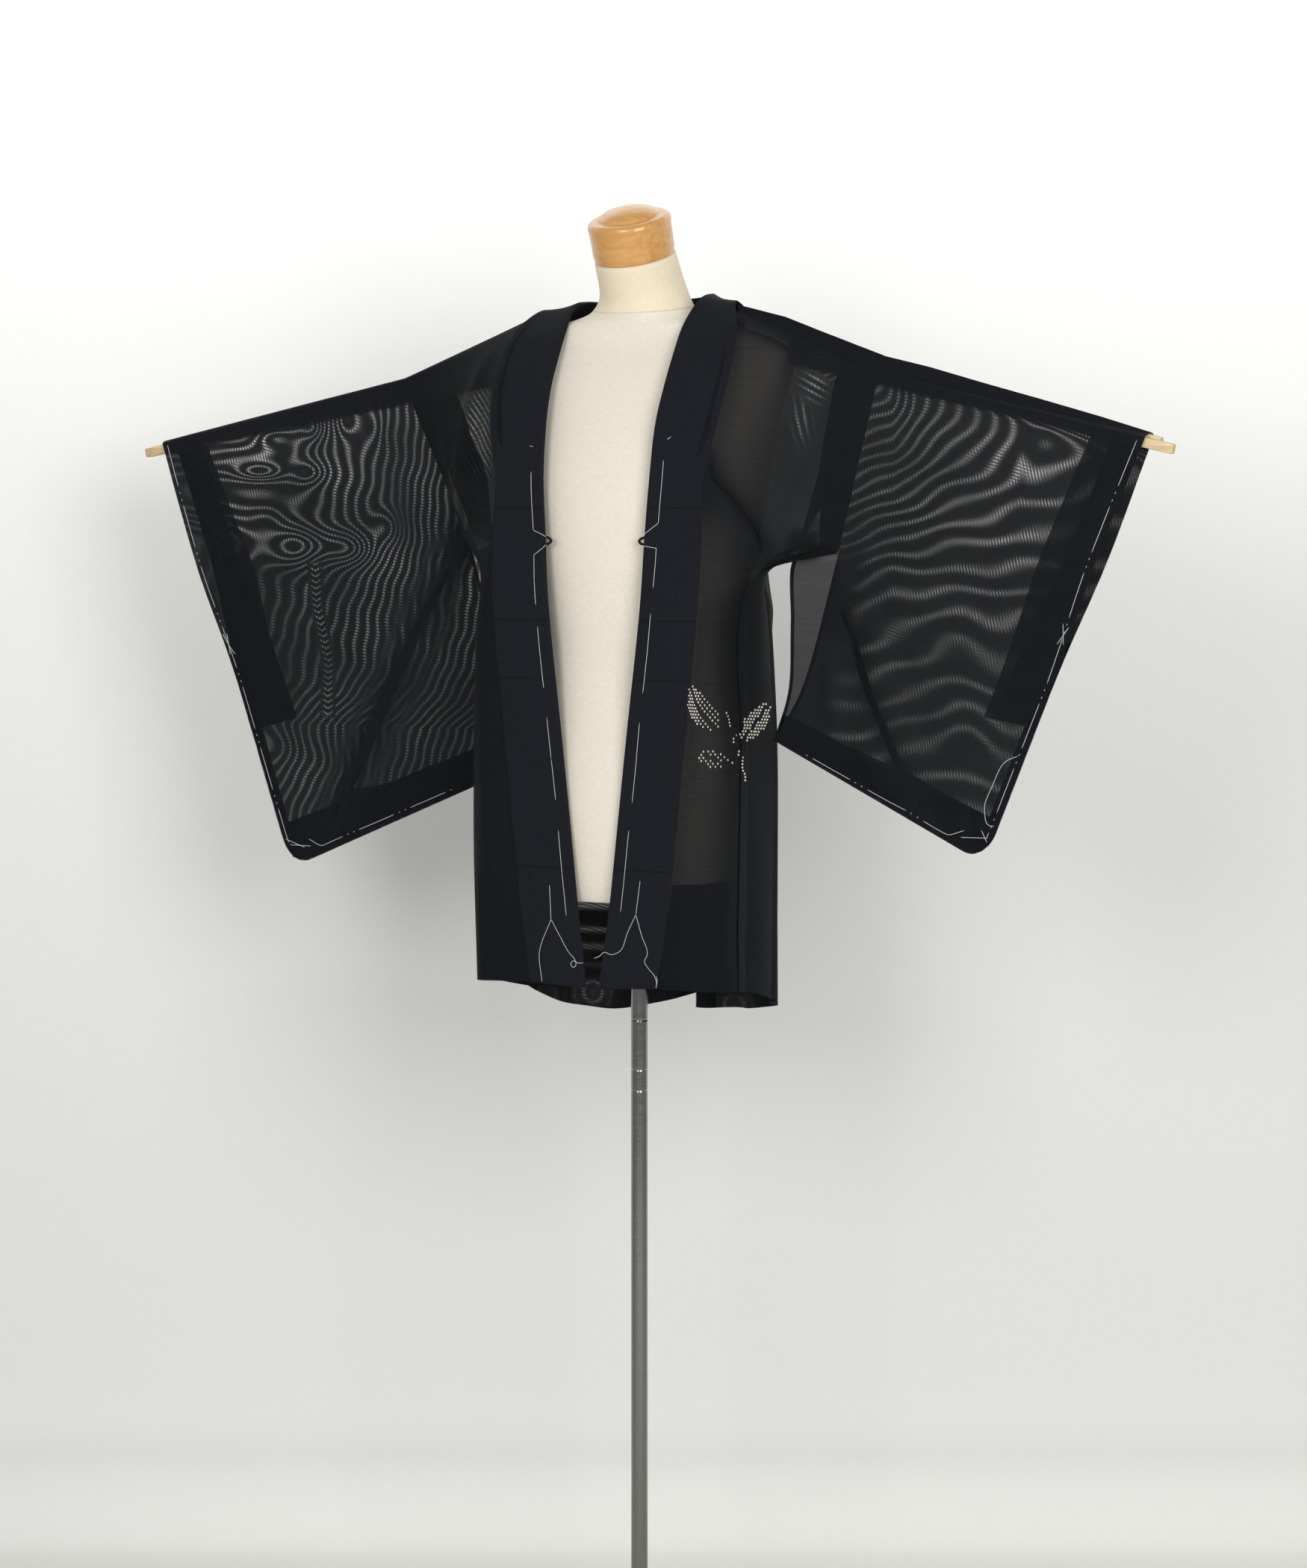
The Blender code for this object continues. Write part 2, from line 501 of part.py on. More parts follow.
def collar_points():
    """The whole band, as rows across it: inner leg, folded edge, outer leg."""
    wearer_left = collar_half(COLLAR_PEAK)
    wearer_right = collar_half(0.0)
    inner = np.concatenate([wearer_left[0], wearer_right[0][-2::-1] * (-1, 1, 1)])
    outer = np.concatenate([wearer_left[1], wearer_right[1][-2::-1] * (-1, 1, 1)])
    leg = np.concatenate([wearer_left[2], wearer_right[2][-2::-1]])
    flap = outer - inner
    width = np.linalg.norm(flap, axis=1, keepdims=True)
    along = np.gradient(inner, axis=0)
    along /= np.linalg.norm(along, axis=1, keepdims=True)
    face = np.cross(along, flap / width)
    face /= np.linalg.norm(face, axis=1, keepdims=True)
    away = inner * (1.0, 1.0, 0.0)
    face *= np.sign((face * away).sum(axis=1, keepdims=True))
    columns = []
    edge = flap / width * COLLAR_EDGE
    for share in (1.0, 0.55, 0.2):
        under = flap * leg[:, None] * share * INNER_LEG_WIDTH
        columns.append(inner + under - face * BAND * min(share * 4, 1.0) + edge)
    columns.append(inner - face * BAND * 0.5)
    columns.append(inner + edge)
    for share in (0.06, 0.3, 0.55, 0.8, 1.0):
        columns.append(inner + flap * share)
    return np.stack(columns, axis=1)


cloth("collar", collar_points(), COLLAR_LOOK, wall=COLLAR_WALL)


def cord_loop(name, side):
    """A small bight of fabric cord that stands out of the collar's folded edge."""
    keys = [row[2] for row in COLLAR_ROWS[:9]]
    edge = hermite(keys, [row[:2] for row in COLLAR_ROWS[:9]], [LOOP_Z])[0]
    sign = 1.0 if side == "left" else -1.0
    curve = bpy.data.curves.new(name, "CURVE")
    curve.dimensions = "3D"
    curve.bevel_depth = LOOP_WIRE
    curve.bevel_resolution = 2
    curve.use_fill_caps = True
    spline = curve.splines.new("POLY")
    turns = np.linspace(-math.pi / 2, math.pi / 2, 9)
    spline.points.add(len(turns) - 1)
    for point, turn in zip(spline.points, turns):
        reach = LOOP_ROOT + LOOP_REACH * math.cos(turn)
        point.co = (sign * (edge[0] - reach), edge[1], LOOP_Z + LOOP_HALF * math.sin(turn), 1.0)
    made = bpy.data.objects.new(name, curve)
    curve.materials.append(COLLAR_LOOK)
    parts.objects.link(made)
    return made


cord_loop("loop_left", "left")
cord_loop("loop_right", "right")


# ---- form and stand ------------------------------------------------------------------------
def form_points():
    """Rings from the bottom up: superellipses, then the neck's ellipses, which lean forward."""
    turns = np.arange(FORM_SIDES) * 2 * math.pi / FORM_SIDES
    rings = []
    for z, half, front, back, tip in FORM_ROWS:
        cosine, sine = np.cos(turns), np.sin(turns)
        middle = (back - front) / 2
        if z > NECK_FROM:
            x = half * cosine
            y = middle + (front + back) / 2 * sine
        else:
            x = half * np.sign(cosine) * np.abs(cosine) ** SQUARENESS
            y = np.where(sine < 0, front, back) * np.sign(sine) * np.abs(sine) ** SQUARENESS
        rings.append(np.stack([x, y, z + tip * (y - middle)], axis=1))
    return np.array(rings)


rings = form_points()
form_mesh = grid_mesh("form_torso", rings, loop=True)
verts = [tuple(vertex.co) for vertex in form_mesh.vertices]
faces = [tuple(face.vertices) for face in form_mesh.polygons]
last = len(verts) - FORM_SIDES
faces.append(tuple(range(FORM_SIDES))[::-1])
faces.append(tuple(range(last, len(verts))))
form_mesh.clear_geometry()
form_mesh.from_pydata(verts, [], faces)
form_mesh.shade_smooth()
add("form_torso", form_mesh, LINEN_LOOK)

cap = turned("form_cap", CAP_PROFILE, WOOD_LOOK, 28)
lean = math.atan(NECK_TILT)
cap.rotation_euler = (lean, 0.0, 0.0)
cap.location = NECK_TOP + Vector((0.0, -math.sin(lean), math.cos(lean))) * CAP_GAP

turned("stand_base", BASE_PROFILE, STEEL_LOOK, 32)
bpy.ops.mesh.primitive_cylinder_add(vertices=24, radius=POLE_RADIUS, depth=POLE_TOP - HUB_TOP - TOUCH_GAP)
pole = bpy.context.object
pole.name = "stand_pole"
pole.location = (0.0, 0.0, (POLE_TOP + HUB_TOP + TOUCH_GAP) / 2)
pole.data.materials.append(STEEL_LOOK)
for collection in list(pole.users_collection):
    collection.objects.unlink(pole)
parts.objects.link(pole)


def slat(name, side, middle_y, inner_z, outer_x, outer_z):
    """A straight wooden slat from the form's shoulder to past the cuff; its ends are given by
    the height of its top."""
    sign = 1.0 if side == "left" else -1.0
    run = outer_x - SLAT_INNER
    bpy.ops.mesh.primitive_cube_add(size=1.0)
    made = bpy.context.object
    made.name = name
    made.data.transform(Matrix.Diagonal((math.hypot(run, inner_z - outer_z), SLAT_DEEP, SLAT_TALL, 1.0)))
    made.rotation_euler = (0.0, sign * math.atan((inner_z - outer_z) / run), 0.0)
    made.location = (sign * (SLAT_INNER + run / 2), middle_y, (inner_z + outer_z - SLAT_TALL) / 2)
    edge = made.modifiers.new("edge", "BEVEL")
    edge.width = SLAT_BEVEL
    edge.segments = 1
    made.data.materials.append(SLAT_LOOK)
    for collection in list(made.users_collection):
        collection.objects.unlink(made)
    parts.objects.link(made)


SLATS = (
    # name               side     mid y    inner top z  outer x  outer top z
    ("slat_left_front", "left", -0.0053, 1.4282, 0.6255, 1.3294),
    ("slat_left_rear", "left", 0.0053, 1.4490, 0.6075, 1.3365),
    ("slat_right_front", "right", -0.0053, 1.4268, 0.6370, 1.3310),
    ("slat_right_rear", "right", 0.0053, 1.4080, 0.6500, 1.3300),
)
for row in SLATS:
    slat(*row)
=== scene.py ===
import math

import bpy
import numpy as np
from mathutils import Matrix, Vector


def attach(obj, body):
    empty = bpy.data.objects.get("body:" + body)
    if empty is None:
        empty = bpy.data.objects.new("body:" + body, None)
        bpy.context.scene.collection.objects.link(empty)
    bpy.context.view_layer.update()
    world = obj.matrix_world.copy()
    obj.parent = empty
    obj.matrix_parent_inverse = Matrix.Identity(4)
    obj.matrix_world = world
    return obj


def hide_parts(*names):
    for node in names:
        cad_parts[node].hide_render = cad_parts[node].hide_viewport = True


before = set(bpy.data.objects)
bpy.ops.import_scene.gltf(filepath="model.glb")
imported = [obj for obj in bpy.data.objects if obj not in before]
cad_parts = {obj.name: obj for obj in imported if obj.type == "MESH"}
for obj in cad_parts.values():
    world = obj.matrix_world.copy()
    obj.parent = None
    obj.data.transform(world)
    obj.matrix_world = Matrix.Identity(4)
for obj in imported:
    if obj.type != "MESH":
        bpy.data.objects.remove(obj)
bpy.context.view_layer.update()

# Metres. The form faces -Y, the wearer's left is +X, and the foot stands at z = 0.


# ---- small helpers
def even(start, end, count):
    # evenly spaced values, both ends among them
    return np.linspace(start, end, count)


def circle(sides):
    # angles all the way round, without the first one again
    return np.linspace(0, 2 * math.pi, sides, endpoint=False)


def toLinear(hexColour):
    # a hex colour as the linear values that sockets take
    parts = np.array([int(hexColour[i:i + 2], 16) for i in (1, 3, 5)]) / 255.0
    linear = np.where(parts <= 0.04045, parts / 12.92, ((parts + 0.055) / 1.055) ** 2.4)
    return (*linear.tolist(), 1.0)


def addNode(tree, kind, links=None, values=None, **settings):
    # links and values go by input name or number, and a link is (node, output)
    node = tree.nodes.new("ShaderNode" + kind)
    for key, value in settings.items():
        setattr(node, key, value)
    for key, value in (values or {}).items():
        node.inputs[key].default_value = value
    for key, (source, output) in (links or {}).items():
        tree.links.new(source.outputs[output], node.inputs[key])
    return node


def newMaterial(name, hexColour, roughness, **sockets):
    # further sockets go by their names, with _ for each space
    made = bpy.data.materials.new(name)
    made.use_nodes = True
    shader = made.node_tree.nodes["Principled BSDF"]
    shader.inputs["Base Color"].default_value = toLinear(hexColour)
    shader.inputs["Roughness"].default_value = roughness
    for key, value in sockets.items():
        shader.inputs[key.replace("_", " ")].default_value = value
    return made, made.node_tree, shader


def maths(tree, operation, *terms):
    # one sum: each term is a number or (node, output)
    node = tree.nodes.new("ShaderNodeMath")
    node.operation = operation
    for number, term in enumerate(terms):
        if isinstance(term, tuple):
            tree.links.new(term[0].outputs[term[1]], node.inputs[number])
        else:
            node.inputs[number].default_value = term
    return node, 0


def objectAxes(tree):
    # X, Y and Z of the point on its piece, in metres
    return addNode(tree, "SeparateXYZ", {"Vector": (addNode(tree, "TexCoord"), "Object")})


def ownMap(tree):
    # X and Y are the first two columns of the piece's own map
    return addNode(tree, "SeparateXYZ", {"Vector": (addNode(tree, "UVMap", uv_map="bands"), "UV")})


def ranged(tree, source, low, high, bottom=0.0, top=1.0, **settings):
    # the source's run from low to high becomes a run from bottom to top
    ends = {"From Min": low, "From Max": high, "To Min": bottom, "To Max": top}
    return addNode(tree, "MapRange", {"Value": source}, ends, **settings), "Result"


def streaks(tree, scale, detail=3.0):
    # noise in object space, drawn out along the axes with the smaller scales
    place = addNode(tree, "TexCoord")
    spread = addNode(tree, "Mapping", {"Vector": (place, "Object")}, {"Scale": scale})
    noise = {"Scale": 1.0, "Detail": detail}
    return addNode(tree, "TexNoise", {"Vector": (spread, "Vector")}, noise), "Fac"


def mixed(tree, factor, first, second):
    # a colour between two, each a hex string or a node's output
    made = addNode(tree, "Mix", {0: factor}, data_type="RGBA")
    for number, colour in ((6, first), (7, second)):
        if isinstance(colour, str):
            made.inputs[number].default_value = toLinear(colour)
        else:
            tree.links.new(colour[0].outputs[colour[1]], made.inputs[number])
    return made, 2


def joined(tree, shader, socket, source):
    # a node's output goes into one of the shader's sockets
    tree.links.new(source[0].outputs[source[1]], shader.inputs[socket])


def bumped(tree, shader, height, strength, distance):
    # the shader's surface rises and falls with the height
    depth = {"Strength": strength, "Distance": distance}
    joined(tree, shader, "Normal", (addNode(tree, "Bump", {"Height": height}, depth), "Normal"))


def fitted(piece, node=None):
    # rides on the root and, where it stands for a CAD node, replaces that node
    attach(piece, "root")
    if node:
        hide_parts(node)
    return piece


def curveThrough(keys, values, at):
    # cubic pieces with shared slopes at the keys, read at an array of places of any shape
    keys, values, at = np.asarray(keys, float), np.asarray(values, float), np.asarray(at, float)
    slopes = np.gradient(values, keys, axis=0)
    cell = np.clip(np.searchsorted(keys, at, side="right") - 1, 0, len(keys) - 2)
    span = (keys[cell + 1] - keys[cell])[..., None]
    t = (at[..., None] - keys[cell][..., None]) / span
    return ((2 * t**3 - 3 * t**2 + 1) * values[cell] + (t**3 - 2 * t**2 + t) * span * slopes[cell]
            + (3 * t**2 - 2 * t**3) * values[cell + 1] + (t**3 - t**2) * span * slopes[cell + 1])


def ramp(values, start=0.0, end=1.0):
    # 0 at the start, 1 at the end, with level ends and a soft slope between
    t = np.clip((values - start) / (end - start), 0, 1)
    return t * t * (3 - 2 * t)


def mound(x, z, middle, half, power=2):
    # 1 in the middle, falling off to all sides over its half widths, with a flatter top for power 4
    return np.exp(-((x - middle[0]) / half[0]) ** power - ((z - middle[1]) / half[1]) ** power)


def facing(points):
    # unit vector across the surface at each grid point: rows crossed with columns
    normal = np.cross(np.gradient(points, axis=0), np.gradient(points, axis=1))
    return normal / np.maximum(np.linalg.norm(normal, axis=-1, keepdims=True), 1e-12)


def meshOf(name, grids, look, ends=()):
    # each grid is (points, map or None, turned round, closed across); ends are rings to fill, as
    # (grid number, row, turned round)
    points, faces, maps, starts, total = [], [], [], [], 0
    for grid, flat, turned, closed in grids:
        rows, columns = grid.shape[:2]
        index = np.arange(rows * columns).reshape(rows, columns) + total
        if closed:
            index = np.concatenate([index, index[:, :1]], axis=1)
        quads = np.stack([index[:-1, :-1], index[1:, :-1], index[1:, 1:], index[:-1, 1:]], axis=-1)
        quads = quads.reshape(-1, 4)
        faces.append(quads[:, ::-1] if turned else quads)
        points.append(grid.reshape(-1, 3))
        maps.append(np.zeros((rows * columns, 4)) if flat is None else flat.reshape(-1, 4))
        starts.append((total, columns))
        total += rows * columns
    rings = []
    for number, row, turned in ends:
        start, columns = starts[number]
        rows = len(grids[number][0])
        ring = start + (row % rows) * columns + np.arange(columns)
        rings.append((ring[::-1] if turned else ring).tolist())
    quads = np.concatenate(faces)
    mesh = bpy.data.meshes.new(name)
    mesh.from_pydata(np.concatenate(points), [], quads.tolist() + rings)
    corners = np.concatenate([quads.reshape(-1)] + [np.array(ring) for ring in rings]).astype(int)
    maps = np.concatenate(maps)
    mesh.uv_layers.new(name="bands").data.foreach_set("uv", maps[corners, :2].reshape(-1))
    for column, kept in ((2, "crowdingAndShade"), (3, "lying")):
        mesh.attributes.new(kept, "FLOAT", "POINT").data.foreach_set("value", maps[:, column])
    mesh.shade_smooth()
    mesh.materials.append(look)
    made = bpy.data.objects.new(name, mesh)
    bpy.context.scene.collection.objects.link(made)
    return made


def areaOf(piece):
    # square metres of all faces
    return round(sum(face.area for face in piece.data.polygons), 4)


def lengthAlong(path):
    # how far along the path each of its points lies
    return np.concatenate([[0], np.cumsum(np.linalg.norm(np.diff(path, axis=0), axis=1))])


def rowWidths(grid):
    # how long each row of a grid is, measured along it
    return np.linalg.norm(np.diff(grid, axis=1), axis=-1).sum(axis=1)


def turnedGrid(profile, sides=96, tilt=0.0, foot=(0.0, 0.0, 0.0)):
    # profile rows of (radius, height) turned about Z, tipped about X and moved to its foot
    profile = np.asarray(profile, float)
    angle = circle(sides)
    x = profile[:, :1] * np.cos(angle)
    y = profile[:, :1] * np.sin(angle)
    z = profile[:, 1:] + 0 * x
    y, z = y * math.cos(tilt) - z * math.sin(tilt), y * math.sin(tilt) + z * math.cos(tilt)
    return np.stack([x, y, z], axis=-1) + np.array(foot)


def softProfile(corners, rounding=0.25, steps=5):
    # each corner of a profile is cut back by a share of its two sides and rounded by an arc
    corners = np.asarray(corners, float)
    made = [corners[0]]
    t = even(0, 1, steps)[:, None]
    for before, corner, after in zip(corners[:-2], corners[1:-1], corners[2:]):
        start, end = corner + (before - corner) * rounding, corner + (after - corner) * rounding
        made.extend((1 - t) ** 2 * start + 2 * t * (1 - t) * corner + t**2 * end)
    made.append(corners[-1])
    return np.array(made)


def tube(paths, radius, sides=6):
    # round threads along paths; each is closed at its ends by a narrowing ring
    grids = []
    for path in paths:
        path = np.asarray(path, float)
        run = np.gradient(path, axis=0)
        run /= np.maximum(np.linalg.norm(run, axis=1, keepdims=True), 1e-12)
        aside = np.cross(run, (0.0, 1.0, 0.02))
        aside /= np.linalg.norm(aside, axis=1, keepdims=True)
        up = np.cross(run, aside)
        angle = circle(sides)[None, :, None]
        thick = np.full(len(path), radius)
        thick[[0, -1]] = radius * 0.25
        ring = np.cos(angle) * aside[:, None] + np.sin(angle) * up[:, None]
        grids.append((path[:, None] + ring * thick[:, None, None], None, False, True))
    return grids


def finer(path, step=0.002):
    # the same path through more points, evenly spaced along it
    path = np.asarray(path, float)
    if len(path) < 3:
        path = np.array([path[0], path.mean(axis=0), path[-1]])
    length = lengthAlong(path)
    return curveThrough(length, path, even(0, length[-1], max(4, int(length[-1] / step))))


print("helpers ready")

# ---- the cut of the cloth: edges of each panel, as the CAD model has them
shape = {
    "shoulderZ": 1.4075, "halfShoulder": 0.294, "ridgeHalf": 0.0125,
    "ridgeDrop": 0.004, "riseFade": 0.12, "cuffOpen": 0.50, "mouthBulge": 0.004,
    "closedHalf": 0.0012, "billow": 0.016, "cornerLift": 0.013, "cornerInset": 0.005,
    "armholeLength": 0.20, "wrapLength": 0.016, "spreadOver": 0.22, "armholeShare": 0.42,
    "backWaves": 2.5, "backWaveDepth": 0.012, "wavesFrom": 0.12, "mouthFrom": 0.30,
    "mouthOver": 0.12, "frontDrop": 0.0032,
}
# where each armhole ends, x, y, z
armholeEnd = {
    ("left", "front"): (0.2506, -0.018, 1.2160),
    ("left", "back"): (0.1860, 0.020, 1.2180),
    ("right", "front"): (0.2080, -0.008, 1.2180),
    ("right", "back"): (0.2200, 0.018, 1.2300),
}
# the panel's inner edge and the bend in its middle
panelRows = {
    "front": (
        # down    in x    in y    in z    bend x  bend y  bend z
        (0.000, 0.1205, 0.000, 1.4755, 0.205, 0.000, 1.4440),
        (0.008, 0.1245, -0.010, 1.4725, 0.206, -0.008, 1.4400),
        (0.016, 0.1285, -0.018, 1.4680, 0.207, -0.015, 1.4350),
        (0.035, 0.1380, -0.035, 1.4520, 0.209, -0.028, 1.4180),
        (0.075, 0.1445, -0.058, 1.4180, 0.214, -0.046, 1.3750),
        (0.110, 0.1440, -0.074, 1.3840, 0.214, -0.056, 1.3420),
        (0.145, 0.1395, -0.085, 1.3500, 0.210, -0.066, 1.3070),
        (0.200, 0.1285, -0.094, 1.2900, 0.196, -0.080, 1.2450),
        (0.235, 0.1288, -0.0975, 1.2500, 0.176, -0.091, 1.2050),
        (0.275, 0.1285, -0.1010, 1.2050, 0.157, -0.097, 1.1700),
        (0.330, 0.1258, -0.1045, 1.1500, 0.152, -0.102, 1.1250),
        (0.450, 0.1135, -0.1050, 1.0300, 0.157, -0.105, 1.0250),
        (0.600, 0.0992, -0.1053, 0.8850, 0.160, -0.107, 0.8880),
        (0.743, 0.0804, -0.1065, 0.7485, 0.157, -0.109, 0.7465),
    ),
    "back": (
        (0.000, 0.1205, 0.000, 1.4755, 0.205, 0.000, 1.4440),
        (0.008, 0.1190, 0.010, 1.4710, 0.206, 0.010, 1.4400),
        (0.016, 0.1155, 0.019, 1.4655, 0.206, 0.018, 1.4350),
        (0.035, 0.1000, 0.038, 1.4520, 0.203, 0.036, 1.4180),
        (0.075, 0.0600, 0.062, 1.4340, 0.186, 0.064, 1.3850),
        (0.110, 0.0006, 0.072, 1.4240, 0.165, 0.084, 1.3560),
        (0.150, 0.0006, 0.092, 1.3880, 0.145, 0.104, 1.3170),
        (0.200, 0.0006, 0.110, 1.3380, 0.132, 0.117, 1.2650),
        (0.250, 0.0006, 0.120, 1.2760, 0.125, 0.122, 1.2100),
        (0.310, 0.0006, 0.126, 1.2050, 0.125, 0.124, 1.1520),
        (0.430, 0.0006, 0.131, 1.0600, 0.124, 0.128, 1.0250),
        (0.590, 0.0006, 0.134, 0.8800, 0.126, 0.132, 0.8640),
        (0.740, 0.0006, 0.136, 0.7000, 0.126, 0.134, 0.6970),
    ),
}
# the panel's outer edge below the armhole: how far down, then x, y, z
panelOuter = {
    "front": ((0.235, 0.2075, -0.020, 1.2085), (0.275, 0.163, -0.024, 1.1975),
             (0.330, 0.150, -0.029, 1.1480), (0.450, 0.149, -0.031, 1.0250),
             (0.600, 0.147, -0.031, 0.8900), (0.743, 0.145, -0.031, 0.7420)),
    "back": ((0.250, 0.136, 0.031, 1.1975), (0.310, 0.1385, 0.036, 1.1480),
             (0.430, 0.1465, 0.036, 1.0250), (0.590, 0.146, 0.037, 0.8700),
             (0.740, 0.144, 0.037, 0.7270)),
}
# points of that edge that lie elsewhere on the wearer's right front
rightUnderarm = {0.235: (0.185, -0.014, 1.200), 0.275: (0.166, -0.020, 1.178),
                 0.330: (0.156, -0.028, 1.135)}
# how far the back hem rises at its inner edge, its bend and its outer edge
backHemLift = {"left": (0.0, 0.0055, 0.0), "right": (0.0165, -0.026, 0.0)}
# how far the bend and the outer edge move over in x and y on the wearer's right, below the armhole
rightSpread = {"front": ((0.012, -0.015), (0.015, -0.016)),
               "back": ((0.008, 0.000), (0.012, -0.010))}
# how far the shoulder's fold stands up: out along it, then the rise
ridgeRise = {
    "left": (
        (0.060, 0.0000), (0.120, 0.0060), (0.178, 0.0138), (0.220, 0.0145), (0.290, 0.0170),
        (0.345, 0.0165), (0.410, 0.0130), (0.470, 0.0105), (0.540, 0.0070), (0.5965, 0.0030),
    ),
    "right": ((0.060, 0.0), (0.620, 0.0)),
}
# the sleeve's inner edge below the armhole: share of the way down, then x, y, z
sleeveInner = {
    ("left", "front"): ((0.70, 0.2130, -0.022, 1.0800), (1.0, 0.1740, -0.020, 1.0140)),
    ("left", "back"): ((0.47, 0.1755, 0.024, 1.2060), (0.62, 0.1725, 0.026, 1.1400),
                       (0.80, 0.1700, 0.027, 1.0700), (1.0, 0.1705, -0.008, 1.0160)),
    ("right", "front"): ((0.62, 0.1800, -0.010, 1.1200), (1.0, 0.1720, -0.010, 0.9650)),
    ("right", "back"): ((0.62, 0.1900, 0.026, 1.1300), (1.0, 0.1720, 0.002, 0.9670)),
}
# top and foot of its outer edge
sleeveOuter = {
    "left": ((0.5965, 0.000, 1.3392), (0.4255, -0.028, 0.8915)),
    "right": ((0.6165, 0.000, 1.3392), (0.4480, -0.006, 0.8510)),
}
# Broad folds across, down to across, down, as shares of the panel; half width as a share, height.
broadFolds = {
    "sleeve": ((0.02, 0.36, 0.70, 0.98, 0.055, 0.011), (0.06, 0.42, 0.34, 0.97, 0.050, -0.006),
               (0.20, 0.10, 0.95, 0.40, 0.100, 0.004)),
    "front": ((0.02, 0.30, 0.95, 0.345, 0.055, -0.010), (0.10, 0.42, 0.45, 0.98, 0.080, 0.004)),
}
outwardOf = {"front": -1.0, "back": 1.0}
signOf = {"left": 1.0, "right": -1.0}


def broadHeight(across, down, folds):
    # soft ridges along straight lines on the panel, each fading at its ends
    total = np.zeros(np.broadcast(across, down).shape)
    for a0, d0, a1, d1, width, height in folds:
        run = np.array([a1 - a0, d1 - d0])
        length = np.hypot(*run)
        along = ((across - a0) * run[0] + (down - d0) * run[1]) / length**2
        aside = ((across - a0) * run[1] - (down - d0) * run[0]) / length
        taper = np.clip(np.clip(along, 0, 1) * np.clip(1.15 - along, 0, 1) * 3.4, 0, 1)
        total = total + height * np.exp(-(aside / width) ** 2) * taper
    return total


def armhole(side, face, down):
    # a quarter ellipse off the shoulder's fold, then a straight line to its end
    end = np.array(armholeEnd[side, face])
    outward = outwardOf[face]
    turn = np.clip(down / shape["wrapLength"], 0, 1) * math.pi / 2
    straight = shape["armholeLength"] - shape["wrapLength"]
    share = np.clip((down - shape["wrapLength"]) / straight, 0, 1)
    fold, drop = shape["ridgeHalf"] * outward, shape["ridgeDrop"]
    lower = shape["shoulderZ"] - drop
    x = shape["halfShoulder"] + (end[0] - shape["halfShoulder"]) * share
    y = np.where(share > 0, fold + (end[1] - fold) * share, fold * np.sin(turn))
    z = np.where(share > 0, lower + (end[2] - lower) * share, lower + drop * np.cos(turn))
    return np.stack([x, y, z], axis=-1)


def raiseRidge(grid, side, face, down):
    # the shoulder's fold stands up; the front drops off it at once, the back falls away slowly
    rise = np.interp(grid[..., 0], *np.array(ridgeRise[side]).T)
    if face == "front":
        share = np.clip(1 - down / shape["frontDrop"], 0, 1)
    else:
        fallen = np.clip((down - shape["wrapLength"]) / shape["riseFade"], 0, 1)
        share = 0.5 + 0.5 * np.cos(math.pi * fallen)
    grid[..., 2] += rise * share[:, None]


def panelGrid(side, face, down, across):
    # each row is a quadratic curve from the inner edge over a bend to the outer edge
    rows = np.array(panelRows[face])
    reach, seam = rows[-1, 0], shape["armholeLength"]
    middle = curveThrough(rows[:, 0], rows[:, 1:], down)
    inner, bend = middle[:, :3], middle[:, 3:]
    # the two halves meet at the centre back
    inner[:, 0] = np.where(inner[:, 0] < 0.0006, -0.0003, inner[:, 0])
    own = rightUnderarm if (side, face) == ("right", "front") else {}
    lower = np.array([(seam, *armholeEnd[side, face])]
                     + [(key, *own.get(key, edge)) for key, *edge in panelOuter[face]])
    below = curveThrough(lower[:, 0], lower[:, 1:], np.maximum(down, seam))
    outer = np.where((down <= seam)[:, None], armhole(side, face, down), below)
    if side == "right":
        spread = np.clip((down - seam) / shape["spreadOver"], 0, 1)[:, None]
        bend[:, :2] += np.array(rightSpread[face][0]) * spread
        outer[:, :2] += np.array(rightSpread[face][1]) * spread
    if face == "back":
        share = np.clip((down - seam) / (reach - seam), 0, 1) ** 2
        for edge, lift in zip((inner, bend, outer), backHemLift[side]):
            edge[:, 2] += lift * share
    across = np.broadcast_to(across, (len(down), np.shape(across)[-1]))
    t = across[..., None]
    grid = (1 - t) ** 2 * inner[:, None] + 2 * t * (1 - t) * bend[:, None] + t**2 * outer[:, None]
    share = (down / reach)[:, None] + 0 * across
    edges = np.clip(across * (1 - across) * 12, 0, 1)
    if face == "front":
        grid[..., 1] -= broadHeight(across, share, broadFolds["front"]) * edges
    else:
        grown = np.clip(share - shape["wavesFrom"], 0, 1)
        wave = -np.cos(2 * math.pi * shape["backWaves"] * across)
        wave = wave * shape["backWaveDepth"] * grown * edges
        grid[..., 1] += wave * (1 - 0.5 * across)
        grid[..., 0] += wave * 0.6 * across
    raiseRidge(grid, side, face, down)
    return grid


